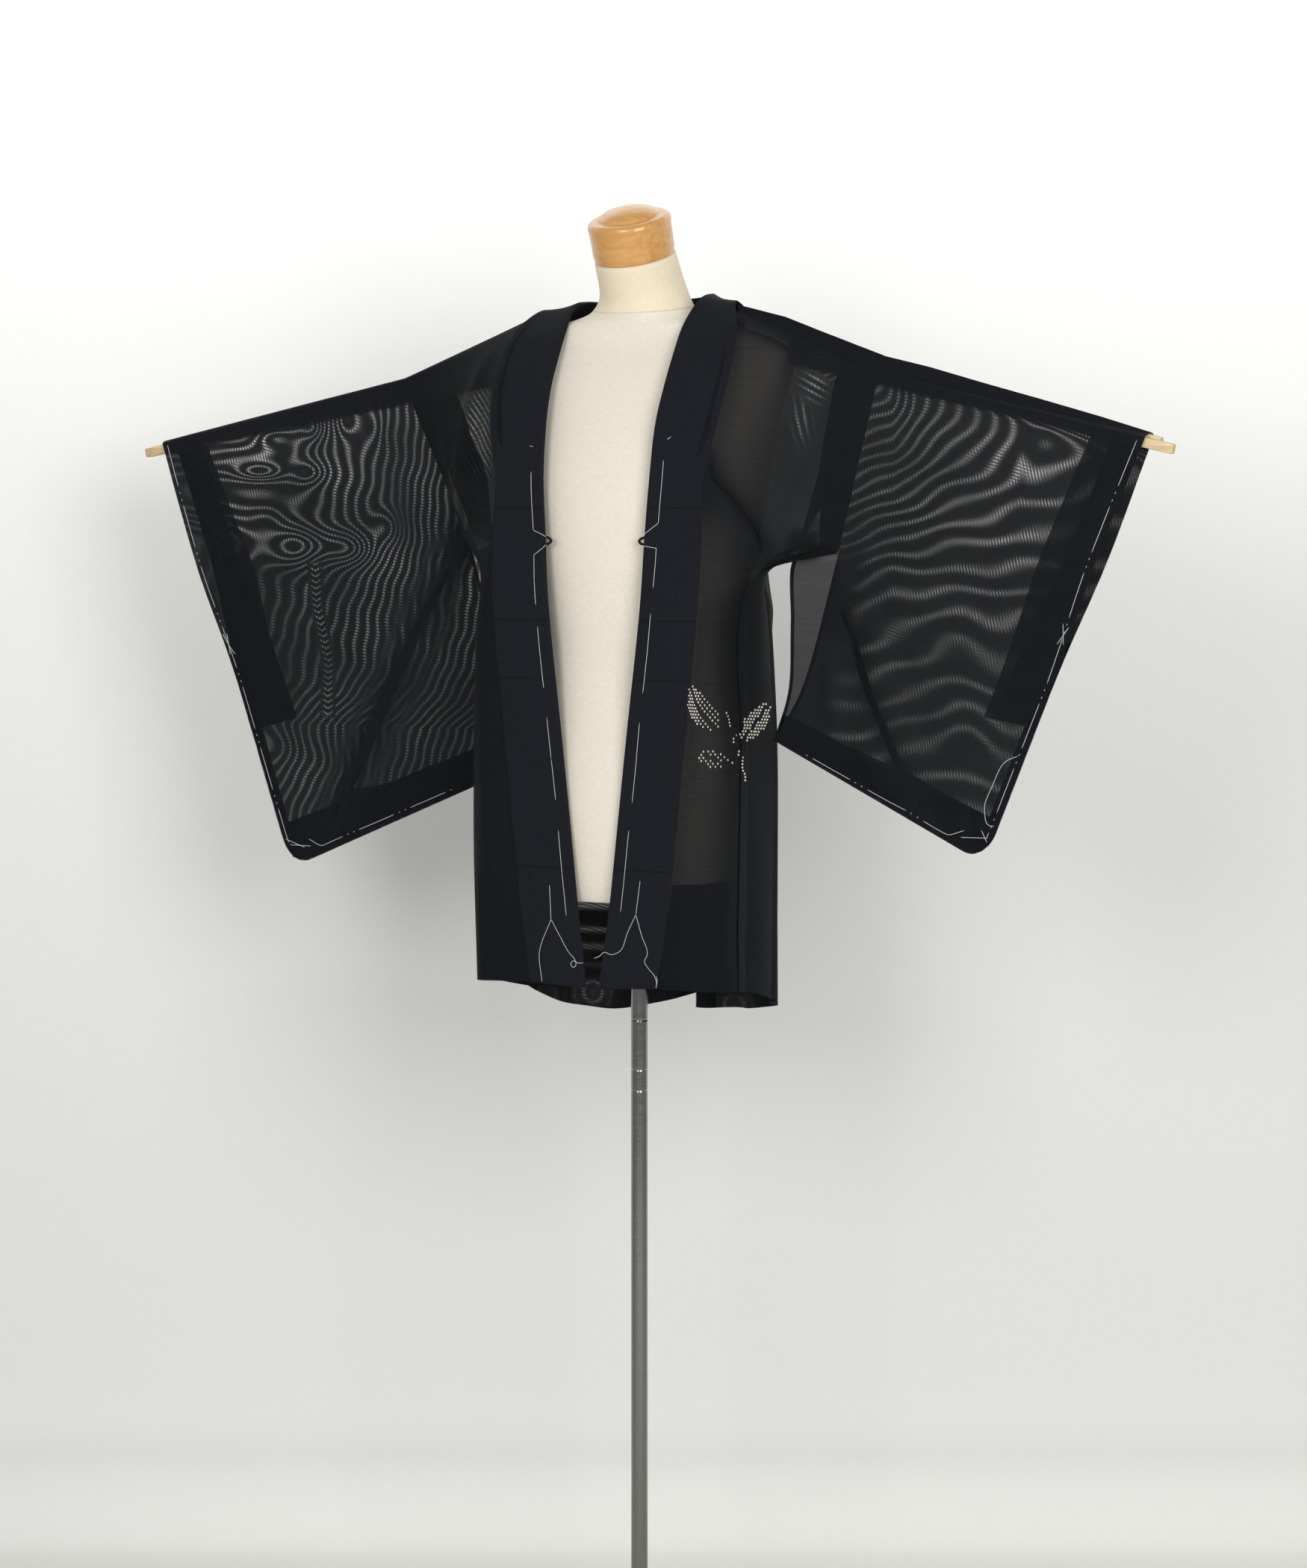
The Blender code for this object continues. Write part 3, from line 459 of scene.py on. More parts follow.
def sleeveGrid(side, face, down, across):
    # ruled from the inner edge to the outer one, standing out in the middle; down is a share
    rows = np.array([(shape["armholeShare"], *armholeEnd[side, face]), *sleeveInner[side, face]])
    seam = armhole(side, face, np.clip(down / shape["armholeShare"], 0, 1) * shape["armholeLength"])
    lower = curveThrough(rows[:, 0], rows[:, 1:], np.clip(down, shape["armholeShare"], 1))
    inner = np.where((down <= shape["armholeShare"])[:, None], seam, lower)
    top, corner = (np.array(point) for point in sleeveOuter[side])
    outward = outwardOf[face]
    wrap = shape["armholeShare"] * shape["wrapLength"] / shape["armholeLength"]
    turn = np.clip(down / wrap, 0, 1) * math.pi / 2
    fallen = np.clip((down - wrap) / (1 - wrap), 0, 1)
    outer = top + (corner - top) * fallen[:, None]
    outer[:, 2] -= shape["ridgeDrop"] * (1 - np.cos(turn)) * (1 - fallen)
    shutOver = shape["cuffOpen"] + shape["mouthOver"] - shape["mouthFrom"]
    mouth = 0.5 + 0.5 * np.cos(math.pi * np.clip((down - shape["mouthFrom"]) / shutOver, 0, 1))
    bulge = np.sin(math.pi * np.clip(down / shape["cuffOpen"], 0, 1))
    openHalf = shape["ridgeHalf"] + shape["mouthBulge"] * bulge
    outer[:, 1] += outward * (openHalf * mouth + shape["closedHalf"] * (1 - mouth)) * np.sin(turn)
    across = np.broadcast_to(across, (len(down), np.shape(across)[-1]))
    t = across[..., None]
    grid = inner[:, None] * (1 - t) + outer[:, None] * t
    share = down[:, None] + 0 * across
    billow = shape["billow"] * np.sin(math.pi * np.clip(across, 0, 1)) * np.sin(math.pi * share**0.8)
    ridge = broadHeight(across, share, broadFolds["sleeve"]) * np.clip((1 - share) * 12, 0, 1)
    ridge = ridge * np.clip(across * 10, 0, 1) * np.clip((1 - across) * 8, 0, 1)
    grid[..., 1] += outward * (billow + ridge)
    lift = np.clip((across - 0.90) / 0.10, 0, 1) ** 2 * np.clip((share - 0.93) / 0.07, 0, 1) ** 2
    grid[..., 2] += shape["cornerLift"] * lift
    grid[..., 0] -= shape["cornerInset"] * lift
    raiseRidge(grid, side, face, down / shape["armholeShare"] * shape["armholeLength"])
    # the two faces come together at the bottom fold
    closed = ramp(share, 0.97, 1.0)
    middleY = inner[-1, 1] * (1 - across) + outer[-1, 1] * across
    grid[..., 1] = grid[..., 1] * (1 - closed) + (middleY + outward * shape["closedHalf"]) * closed
    return grid


# a crease's wander in half widths, its ripple as a share, how deep the cloth beside a pleat is pressed
# in, and how far a pleat and the side of a ridge shut the gaps: painted shade along the folds, where
# a pleat also lies three deep
creaseShape = {"wander": 0.35, "uneven": 0.15, "pressed": 0.009, "doubled": 1.1, "crowdingAndShade": 34}


def creased(grid, face, creases, hold=1.0):
    # a crease stands out as a soft ridge along its line; cloth drawn over the line makes a flat
    # pleat instead. hold is 0 where a seam keeps the cloth in place. Also gives how far each fold shuts
    # the gaps, as painted shade along one side of a ridge and over a pleat, where the cloth also lies
    # three deep.
    x, z = grid[..., 0].copy(), grid[..., 2].copy()
    out = outwardOf[face]
    crowdingAndShade = np.zeros(x.shape)
    for x0, z0, x1, z1, width, height, *drawn in creases:
        run = np.array([x1 - x0, z1 - z0])
        length = np.hypot(*run)
        run /= length
        along = ((x - x0) * run[0] + (z - z0) * run[1]) / length
        wander = creaseShape["wander"] * width * np.sin(along * 5.3 + x0 * 40) * np.clip(along, 0, 1)
        q = ((x - x0) * run[1] - (z - z0) * run[0] + wander) / width
        taper = ramp(along, -0.10, 0.20) * ramp(along, 1.10, 0.78) * hold
        ripple = creaseShape["uneven"]
        uneven = taper * (1 - ripple + ripple * np.sin(along * 11 + z0 * 60))
        if drawn:
            move = -drawn[0] * width * q * np.exp(-q**2 / 2) * taper
            grid[..., 0] += move * run[1]
            grid[..., 2] -= move * run[0]
            pressedIn = creaseShape["pressed"] * np.exp(-(q / 1.6) ** 2)
            grid[..., 1] += out * (height * q * np.exp(-q**2 / 6) - pressedIn) * taper
            # painted shade in a soft band over the pleat, where the cloth also lies three deep
            doubled = ramp(along, -0.14, 0.10) * ramp(along, 1.18, 0.92)
            crowdingAndShade += creaseShape["doubled"] * np.exp(-(q / 1.85) ** 4) * doubled
        else:
            grid[..., 1] += out * height * np.exp(-q**2) * uneven
            # painted shade: the gaps shut along one side of the ridge
            beside = np.exp(-((q - 0.6) / 0.9) ** 2)
            crowdingAndShade += creaseShape["crowdingAndShade"] * abs(height) * beside * taper
    return grid, np.clip(crowdingAndShade, 0, 1)


# Moire of two layers. Rings stand for places where the cloth bulges: x, z, turns of phase, and
# half widths across and up.
rings = {
    "left": ((0.300, 1.010, 0.4, 0.040, 0.022), (0.395, 1.030, 0.6, 0.032, 0.030)),
    "right": ((0.491, 1.303, 3.2, 0.032, 0.010), (0.425, 1.301, 2.4, 0.022, 0.013),
              (0.474, 1.342, -2.4, 0.026, 0.013), (0.420, 1.352, 1.8, 0.014, 0.014),
              (0.377, 1.364, -2.2, 0.014, 0.022), (0.340, 1.352, 1.2, 0.014, 0.018),
              (0.439, 1.217, 4.6, 0.036, 0.021), (0.373, 1.217, 4.4, 0.034, 0.021),
              (0.322, 1.240, 2.6, 0.020, 0.022), (0.470, 0.985, 2.4, 0.034, 0.030),
              (0.410, 0.975, 1.2, 0.030, 0.030), (0.480, 1.250, 1.2, 0.024, 0.020)),
}
ringApart = {"shoulder": 0.0068, "hem": 0.012}   # between rings round one place
# Patches of bands on the shoulders: x, z, half widths across and up, strength, then turns per metre
# across and up; no turns stands for rings around that place.
shoulders = {
    "left": ((0.229, 1.421, 0.024, 0.022, 0.85, 0, 0), (0.213, 1.395, 0.015, 0.018, 0.75, 55, 110),
             (0.197, 1.358, 0.010, 0.022, 0.60, 110, 30), (0.244, 1.325, 0.010, 0.013, 0.55, 40, 90),
             (0.233, 1.279, 0.013, 0.013, 0.60, 70, -60)),
    "right": ((0.206, 1.338, 0.018, 0.054, 1.00, 155, -96), (0.244, 1.411, 0.014, 0.010, 0.80, 0, 0),
              (0.232, 1.360, 0.007, 0.026, 0.60, 120, 60), (0.222, 1.425, 0.010, 0.008, 0.70, 60, 150)),
}
# undersides of the slats: height and slope at the inner end, and how far the cloth over them is shut,
# as painted shade for the slats lying in shadow under the cloth
slatUnder = {"left": (1.4177, -0.2256), "right": (1.3975, -0.1687), "from": 0.1875,
             "crowdingAndShade": 0.87}
# several layers lie together just under the underarm: x, z on each side, half widths, crowding
underarm = {"x": 0.199, "z": {"left": 1.222, "right": 1.227}, "half": (0.020, 0.017),
            "crowdingAndShade": 0.93}
# the layers fall in step when looked at from here
eye = {"x": 2.356, "y": -4.398, "z": 1.287}


def waves(x, z, high, across, up, start=0.0):
    # an even ripple that runs slantwise over the cloth
    return high * np.sin(x * across + z * up + start)


def faded(values, least, start, end):
    # the least share at the start, 1 from the end on
    return least + (1 - least) * ramp(values, start, end)


# Lengths are metres and turns are whole cycles. A pair is where a ramp starts and ends. A ripple is
# its height and how fast it turns across and up.
leftBand = {
    "upright": 0.3307, "apart": 0.0193, "innerApart": 0.0085, "bend": (0.450, 0.490),
    "bendTop": 1.358, "bendApart": 0.010, "levelApart": 0.0135, "widening": 0.098,
    "widerFrom": 0.305, "lowApart": 0.0195,
    "low": (1.12, 1.23), "tilt": 0.328, "leastTilt": 0.15, "tilted": (1.08, 1.25), "arch": 0.013,
    "archAt": 0.365, "archHalf": 0.042, "arched": (1.175, 1.14), "stretchBelow": 1.165, "stretch": 0.60,
    "firstTurn": 7, "levelFrom": (0.2776, 1.2335), "ripple": (0.0022, 75, 9), "blend": 1.3,
    "fold": (0.2979, 1.4215, 0.279), "streaks": 5.0, "streaksReach": 0.027, "shiver": (0.10, 30, 120),
    "strength": 0.86, "patches": ((0.22, 37, 29), (1.0, -13, 41, 1)), "down": (0.50, 1.06, 1.27),
    "inwards": (0.55, 0.26, 0.38), "single": (0.214, 1.044, 0.22),
}
rightBand = {
    "hook": 8.0, "hookBelow": 1.09, "hookMost": 0.045, "from": 0.262, "lean": 0.14, "leanLow": 0.08,
    "leanAt": 1.222, "turns": 16.5, "widening": 6.8, "innerTurns": 84, "lensAcross": (0.39, 0.49),
    "lensUp": (1.22, 1.30), "lensTurn": 14.0, "lensLevel": 0.85, "lensAt": 1.30, "lensApart": 0.0115,
    "ripples": ((0.20, 22, 58), (0.10, -46, 150)), "strength": 0.92,
    "patches": ((0.26, 33, -23), (1.0, 19, 47, 2)), "down": (0.62, 1.02, 1.24),
    "inwards": (0.88, 0.27, 0.33), "dim": 0.5, "dimAcross": (0.425, 0.45),
    "dimTop": (1.205, 1.185), "dimFoot": (1.03, 1.05),
}
# a ladder of short slanting bands runs down from the rings: its line as z, x, then its half width
ladder = {"line": ((1.200, 0.417), (1.150, 0.414), (1.090, 0.400), (1.045, 0.402)), "half": 0.0080,
          "apart": 0.0068, "steep": 0.62, "foot": 0.020, "edge": 0.0018, "clear": 0.002,
          "dark": 0.9, "brighter": 0.25}


def patchy(x, z, own):
    # the bands' strength, uneven by two crossed ripples
    first, second = own["patches"]
    return own["strength"] + waves(x, z, *first) * waves(x, z, *second)


def leftBands(x, z, own=leftBand):
    # upright bands under the fold that bend over towards the armhole, wide and level lower down, and
    # crowded into streaks beside the fold itself: whichever of the two families has turned more
    past = x - own["upright"]
    upright = np.where(past > 0, past / own["apart"], past / own["innerApart"])
    upright = upright - ramp(x, *own["bend"]) * np.maximum(0, own["bendTop"] - z) / own["bendApart"]
    apart = own["levelApart"] + own["widening"] * np.maximum(0, x - own["widerFrom"])
    apart = own["lowApart"] + (apart - own["lowApart"]) * ramp(z, *own["low"])
    tilt = own["tilt"] * faded(z, own["leastTilt"], *own["tilted"])
    arch = own["arch"] * np.exp(-((x - own["archAt"]) / own["archHalf"]) ** 2) * ramp(z, *own["arched"])
    below = own["stretchBelow"]
    high = np.where(z > below, z, below - (below - z) * own["stretch"])
    fromX, fromZ = own["levelFrom"]
    risen = fromZ + tilt * (x - fromX) + arch + waves(x, z, *own["ripple"]) - high
    level = own["firstTurn"] + risen / apart
    phase = np.logaddexp(upright * own["blend"], level * own["blend"]) / own["blend"]
    foldX, foldZ, slope = own["fold"]
    underFold = foldZ - slope * (x - foldX) - z
    near = np.clip((own["streaksReach"] - underFold) / own["streaksReach"], 0, 1.3)
    phase = phase + own["streaks"] * near**1.5 + waves(x, z, *own["shiver"])
    strength = patchy(x, z, own) * faded(z, *own["down"]) * faded(x + (1.2 - z) * 0.5, *own["inwards"])
    # only one layer shows beside the body, so nothing falls in and out of step there
    singleX, singleZ, slope = own["single"]
    double = ramp(x - singleX - (z - singleZ) * slope, 0.005, 0.030)
    return strength * np.maximum(double, ramp(z, 1.20, 1.23)), phase


def rightBands(x, z, own=rightBand):
    # upright bands, wider apart towards the cuff, that lean and hook outwards at the foot
    hook = np.minimum(own["hook"] * np.maximum(0, own["hookBelow"] - z) ** 2, own["hookMost"])
    lean = own["lean"] * (own["leanAt"] - z) + own["leanLow"] * np.maximum(0, own["leanAt"] - z)
    swept = x - own["from"] - lean - hook
    outer = own["turns"] * np.log(np.maximum(0.1, 1 + own["widening"] * swept))
    phase = np.where(swept > 0, outer, swept * own["innerTurns"])
    # a stack of level lenses near the cuff under the fold
    lens = ramp(x, *own["lensAcross"]) * ramp(z, *own["lensUp"])
    phase = own["lensTurn"] + (phase - own["lensTurn"]) * (1 - own["lensLevel"] * lens)
    phase = phase + lens * (z - own["lensAt"]) / own["lensApart"]
    phase = phase + sum(waves(x, z, *ripple) for ripple in own["ripples"])
    strength = patchy(x, z, own) * faded(z, *own["down"]) * faded(x, *own["inwards"])
    dim = ramp(x, *own["dimAcross"]) * ramp(z, *own["dimTop"]) * ramp(z, *own["dimFoot"])
    return strength * (1 - own["dim"] * dim), phase


def ladderOver(strength, phase, x, z):
    # inside the ladder its own slanting bands take over, with a dark line down each edge
    heights, places = np.array(ladder["line"][::-1]).T
    top, foot = heights[-1], heights[0] - ladder["foot"]
    off = np.abs(x - np.interp(z, heights, places))
    inside = (off < ladder["half"]) & (z < top) & (z > foot)
    phase = np.where(inside, (z - ladder["steep"] * off) / ladder["apart"], phase)
    edge = np.abs(off - ladder["half"]) / ladder["edge"]
    near = (z < top + ladder["clear"]) & (z > foot - ladder["clear"])
    own = strength * (1 - ladder["dark"] * np.exp(-edge**2)) + ladder["brighter"] * inside
    return np.where(near, own, strength), phase


def bandsOf(side, x, z):
    # strength of the bands, and turns of phase between the two layers' threads
    strength, phase = (leftBands if side == "left" else rightBands)(x, z)
    for x0, z0, turns, wide, tall in rings[side]:
        phase = phase + turns * mound(x, z, (x0, z0), (wide, tall))
    if side == "right":
        strength, phase = ladderOver(strength, phase, x, z)
    return np.clip(strength, 0, 1.15), phase


def shoulderBands(side, x, z):
    # each patch fades out evenly, and the strongest one at a place sets the phase
    strength, phase = 0 * x, 0 * x
    for x0, z0, wide, tall, most, across, up in shoulders[side]:
        here = most * mound(x, z, (x0, z0), (wide, tall))
        rounds = np.hypot(x - x0 + wide * 0.6, z - z0 - tall) / ringApart["shoulder"]
        turns = across * x + up * z if across else rounds
        stronger = here > strength
        strength, phase = np.where(stronger, here, strength), np.where(stronger, turns, phase)
    return strength, phase + waves(x, z, 0.12, 60, 90)


def seenThrough(grid, side):
    # where the line from each point to the eye crosses the plane y = 0. The model is worked on the
    # wearer's left, so the eye is mirrored for the other side
    share = grid[..., 1] / (grid[..., 1] - eye["y"])
    x = grid[..., 0] + share * (eye["x"] * signOf[side] - grid[..., 0])
    return x, grid[..., 2] + share * (eye["z"] - grid[..., 2])


def bandsMap(grid, side, strength=1.0, crowdingAndShade=0.5, bands=bandsOf):
    # columns: strength, phase, crowding (which also carries painted shade along folds and over the
    # slats), and 1 where the bands lie level, 0 where they stand
    x, z = seenThrough(grid, side)
    power, phase = bands(side, x, z)
    # how fast the phase turns across and up
    step = 0.0005
    across, up = bands(side, x + step, z)[1] - phase, bands(side, x, z + step)[1] - phase
    lying = up**2 / (across**2 + up**2 + 1e-12)
    under = mound(x, z, (underarm["x"], underarm["z"][side]), underarm["half"], 4)
    crowdingAndShade = 1 - (1 - crowdingAndShade) * (1 - underarm["crowdingAndShade"] * under)
    return np.stack([power * strength, phase, crowdingAndShade + 0 * phase, lying], axis=-1)


def slatShade(grid, side):
    # the cloth over the slats is shut nearly opaque: painted shade for the slats lying in shadow under
    # the cloth
    start, slope = slatUnder[side]
    x, z = seenThrough(grid, side)
    tight = ramp(z - start - slope * (x - slatUnder["from"]), -0.005, 0.002)
    return slatUnder["crowdingAndShade"] * tight * ramp(x, slatUnder["from"] - 0.012, slatUnder["from"])


def inset(grid, face, depth):
    # the same patch of cloth lying this far inside the panel
    if not depth:
        return grid
    normal = facing(grid)
    away = np.sign((normal[..., 1] * outwardOf[face]).mean())
    return grid - normal * away * depth


def placed(side, grid, flat, turned):
    # everything is worked out on the wearer's left and mirrored for the wearer's right
    if side == "right":
        return grid * np.array((-1.0, 1.0, 1.0)), flat, not turned, False
    return grid, flat, turned, False


# ---- gauze
# how clear plain cloth is and how much clearer a bright band, then its slubs and its strokes
gauzeShape = {"clear": 0.150, "swing": 0.95, "sharp": 2.6, "least": 0.012,
              "slubs": 0.06, "slubScale": (14.0, 14.0, 520.0),
              "stroke": 0.0036, "strokeSwing": 0.42, "flatSlant": 0.30, "uprightSlant": 0.25}


def gauzeLook():
    # silk gauze: a leno weave of fine hard-twisted threads with open gaps. Dull black, almost no
    # gloss, and what is behind shows through it
    made, tree, shader = newMaterial("blackSilkGauze", "#14161a", 0.85, Specular_IOR_Level=0.12,
                                     Sheen_Weight=0.012, Sheen_Roughness=0.5)
    bands, where = ownMap(tree), objectAxes(tree)
    lying, crowdingAndShade = (
        addNode(tree, "Attribute", attribute_name=kept) for kept in ("lying", "crowdingAndShade"))
    swing, slubs = gauzeShape["strokeSwing"], gauzeShape["slubs"]

    def sums(*terms):
        # a sum in this look's own tree
        return maths(tree, *terms)

    def strokes(first, slant, second):
        # even strokes that run slantwise over the cloth
        across = sums("MULTIPLY_ADD", (where, first), slant, (where, second))
        return sums("COSINE", sums("MULTIPLY", across, 2 * math.pi / gauzeShape["stroke"]))

    wave = sums("COSINE", sums("MULTIPLY", (bands, "Y"), 2 * math.pi))
    peak = sums("POWER", sums("MULTIPLY_ADD", wave, 0.5, 0.5), gauzeShape["sharp"])
    # strokes across each bright band; the real ones are threads about 1 mm apart
    flat = strokes("X", gauzeShape["flatSlant"], "Z")
    upright = strokes("Z", gauzeShape["uprightSlant"], "X")
    stroke = sums("MULTIPLY_ADD", sums("SUBTRACT", upright, flat), (lying, "Fac"), flat)
    drawn = sums("MULTIPLY", peak, sums("MULTIPLY_ADD", stroke, swing, 1.0 - swing))
    # slubs along the weft; the real threads lie under 1 mm apart
    noise = streaks(tree, gauzeShape["slubScale"], 2.0)
    slub = sums("MULTIPLY_ADD", noise, slubs, gauzeShape["clear"] - slubs / 2)
    opened = sums("MULTIPLY_ADD", sums("MULTIPLY", drawn, (bands, "X")), gauzeShape["swing"], slub)
    # where the cloth lies on itself its threads crowd and shut the gaps; the same shutting paints shade
    # along the folds and over the slats
    left = sums("MULTIPLY", opened, sums("SUBTRACT", 1.0, (crowdingAndShade, "Fac")))
    joined(tree, shader, "Alpha", sums("SUBTRACT", 1.0, sums("MAXIMUM", left, gauzeShape["least"])))
    return made


gauze = gauzeLook()

# Creases, x z to x z: half width, height and, for the deep folds, half widths of cloth that
# are drawn over the line.
creases = {
    ("body", "left", "front"): (
        (0.118, 1.322, 0.183, 1.214, 0.011, 0.0045, 2.3), (0.262, 1.250, 0.180, 1.208, 0.010, 0.0050),
        (0.212, 1.360, 0.188, 1.230, 0.010, 0.0045), (0.240, 1.330, 0.196, 1.222, 0.009, -0.0040),
        (0.150, 1.180, 0.118, 0.980, 0.013, 0.0040), (0.172, 1.195, 0.150, 0.880, 0.011, -0.0035),
        (0.205, 1.205, 0.130, 1.130, 0.012, 0.0040), (0.140, 1.010, 0.150, 0.770, 0.016, 0.0035)),
    ("body", "left", "back"): (
        (0.285, 1.360, 0.150, 1.190, 0.014, 0.0050), (0.250, 1.260, 0.080, 1.120, 0.012, 0.0045),
        (0.060, 1.390, 0.110, 1.150, 0.018, 0.0045), (0.115, 1.100, 0.070, 0.760, 0.017, 0.0050),
        (0.030, 1.150, 0.050, 0.740, 0.013, -0.0045)),
    ("body", "right", "front"): (
        (0.169, 1.430, 0.205, 1.290, 0.010, 0.0060), (0.150, 1.400, 0.176, 1.240, 0.012, -0.0040),
        (0.235, 1.360, 0.196, 1.222, 0.009, 0.0045), (0.198, 1.215, 0.140, 1.090, 0.012, 0.0045),
        (0.165, 1.140, 0.140, 0.860, 0.013, -0.0035), (0.128, 1.060, 0.120, 0.790, 0.015, 0.0035)),
    ("body", "right", "back"): (
        (0.280, 1.350, 0.160, 1.180, 0.014, 0.0050), (0.240, 1.240, 0.090, 1.140, 0.011, 0.0045),
        (0.070, 1.380, 0.100, 1.120, 0.019, 0.0045), (0.100, 1.080, 0.082, 0.750, 0.016, 0.0050),
        (0.040, 1.200, 0.030, 0.780, 0.013, -0.0040)),
    ("sleeve", "left", "front"): (
        (0.208, 1.250, 0.364, 0.912, 0.0115, 0.0050, 1.9), (0.300, 1.365, 0.262, 1.240, 0.020, 0.0040),
        (0.420, 1.340, 0.330, 1.120, 0.028, 0.0035), (0.500, 1.300, 0.430, 1.020, 0.030, -0.0040),
        (0.230, 1.150, 0.262, 0.985, 0.014, 0.0050), (0.409, 0.960, 0.407, 0.895, 0.007, -0.0035),
        (0.560, 1.290, 0.520, 1.130, 0.022, 0.0030)),
    ("sleeve", "left", "back"): (
        (0.240, 1.250, 0.400, 0.960, 0.0150, 0.0060), (0.330, 1.340, 0.290, 1.140, 0.022, 0.0045),
        (0.470, 1.300, 0.380, 1.060, 0.026, -0.0040), (0.540, 1.250, 0.470, 1.000, 0.022, 0.0035)),
    ("sleeve", "right", "front"): (
        (0.208, 1.248, 0.394, 0.892, 0.0125, 0.0050, 1.9), (0.300, 1.370, 0.245, 1.220, 0.020, 0.0040),
        (0.430, 1.330, 0.360, 1.100, 0.030, 0.0035), (0.530, 1.290, 0.460, 1.000, 0.028, -0.0035),
        (0.215, 1.120, 0.250, 0.985, 0.013, 0.0045), (0.300, 1.120, 0.400, 0.930, 0.018, 0.0040)),
    ("sleeve", "right", "back"): (
        (0.230, 1.240, 0.390, 0.930, 0.0150, 0.0060), (0.340, 1.340, 0.300, 1.130, 0.022, 0.0045),
        (0.480, 1.290, 0.400, 1.050, 0.026, -0.0040), (0.550, 1.250, 0.490, 0.990, 0.022, 0.0035)),
}
turnings = {"hem": 0.118, "seam": 0.016, "centre": 0.022, "armhole": 0.044, "inside": 0.0006,
            "underCollar": 0.014, "collarGap": 0.0018, "rimOut": 0.0045, "rimUp": 0.016,
            "cuff": {"left": (0.056, 0.060), "right": (0.054, 0.070)}, "cuffEnd": 0.690,
            "cuffSetBack": 0.014, "sewn": 0.013, "inner": 0.004}
gussetShape = {"below": 0.012, "out": 0.003, "uneven": 0.6, "hemRows": 12}
# how far the threads crowd and shut the gaps, and from where to where; below 0 they stand open. The
# crease entry is painted shade along the folds; the fold entry is partly the cloth turning over the
# top of the fold and partly painted shade over the slats beneath
crowdedAndShaded = {"body": -0.18, "sleeve": 0.30, "gusset": 0.92, "turning": 0.55, "rim": 0.30, "creaseShade": 0.92,
           "shoulder": 0.44, "shoulderUp": (1.24, 1.30), "shoulderOut": (0.185, 0.21),
           "side": 0.80, "sideOut": (0.66, 0.80), "sideDown": (1.19, 1.12),
           "backHem": 0.60, "hem": (0.868, 0.856), "fold": 0.90, "foldOver": (0.034, 0.014)}
# Light through the back hem, seen inside the front opening: height, half height and strength of
# each level stripe, then x, z, half widths and strength of the rings below the front hem.
hemStripes = ((0.8235, 0.0052, 1.0), (0.7970, 0.0040, 0.9),
              (0.7780, 0.0046, 0.7), (0.7580, 0.0045, 0.4))
hemRings = ((0.0585, 0.728, 0.028, 0.017, 0.8), (0.117, 0.722, 0.028, 0.012, 0.6))
hemClear, hemInner = 0.38, (0.17, 0.14)   # strength of a full stripe, and where it fades outwards


def hemLight(side, grid):
    # how far the hem lets light through, and turns of phase: even in the stripes, ringed below them
    x, z = seenThrough(grid, side)
    light, turns = 0 * x, 0 * x
    for height, half, most in hemStripes:
        light = light + most * np.exp(-(((z - height) / half) ** 4))
    for x0, z0, wide, tall, most in hemRings:
        near = most * mound(x, z, (x0, z0), (wide, tall), 4)
        turned = np.hypot(x - x0, z - z0) / ringApart["hem"]
        light, turns = np.maximum(light, near), np.where(near > light, turned, turns)
    return light * ramp(grid[..., 2], *crowdedAndShaded["hem"]) * ramp(x, *hemInner), turns


def drawnIn(kind, side, face, grid, here, hold, top=0.0):
    # the creases pull the cloth in; they, the slats and the top of the fold shut its gaps, which paints
    # shade along the folds and over the slats
    grid, drawn = creased(grid, face, creases[kind, side, face], hold)
    top = np.maximum(top, slatShade(grid, side))
    here[..., 2] = 1 - (1 - here[..., 2]) * (1 - crowdedAndShaded["creaseShade"] * drawn) * (1 - top)
    return grid, here


def bodyPatch(side, face, down, across, depth=0.0, strength=0.0, crowdingAndShade=crowdedAndShaded["body"]):
    # a piece of the body panel: its grid, and its map as bandsMap gives it
    grid = inset(panelGrid(side, face, down, across), face, depth)
    across = np.broadcast_to(across, grid.shape[:2])
    hold = ramp(across, 0.0, 0.10) * ramp(across, 1.0, 0.86)
    # crowded on the shoulders and down the sides
    x, z = grid[..., 0], grid[..., 2]
    shoulder = ramp(z, *crowdedAndShaded["shoulderUp"]) * ramp(x, *crowdedAndShaded["shoulderOut"])
    beside = ramp(across, *crowdedAndShaded["sideOut"]) * ramp(z, *crowdedAndShaded["sideDown"])
    crowdingAndShade = crowdingAndShade + crowdedAndShaded["shoulder"] * shoulder + crowdedAndShaded["side"] * beside
    here = bandsMap(grid, side, strength, crowdingAndShade, shoulderBands)
    if face == "back":
        light, turns = hemLight(side, grid)
        doubled = crowdedAndShaded["backHem"] * ramp(z, *crowdedAndShaded["hem"])
        here[..., 2] = np.maximum(here[..., 2], doubled) * (1 - light)
        here[..., 0] = np.maximum(here[..., 0], hemClear * light)
        here[..., 1] = np.where(light > 0.01, turns, here[..., 1])
        here[..., 3] = here[..., 3] * (1 - np.minimum(1, 20 * light))
    # the top of the fold is shut nearly opaque: partly the cloth turning over the fold, partly painted
    # shade over the slats beneath
    top = crowdedAndShaded["fold"] * ramp(down, *crowdedAndShaded["foldOver"])[:, None]
    return drawnIn("body", side, face, grid, here, hold, top)


def around(back, front):
    # up the back from its hem, over the fold and down the front
    return np.concatenate([back[:0:-1], front])


def strip(amount, rows, steps, width, count, start, end):
    # places across a strip this many metres wide, as shares of the panel's width in each row
    return (amount / np.interp(rows, steps, width))[:, None] * even(start, end, count)[None, :]


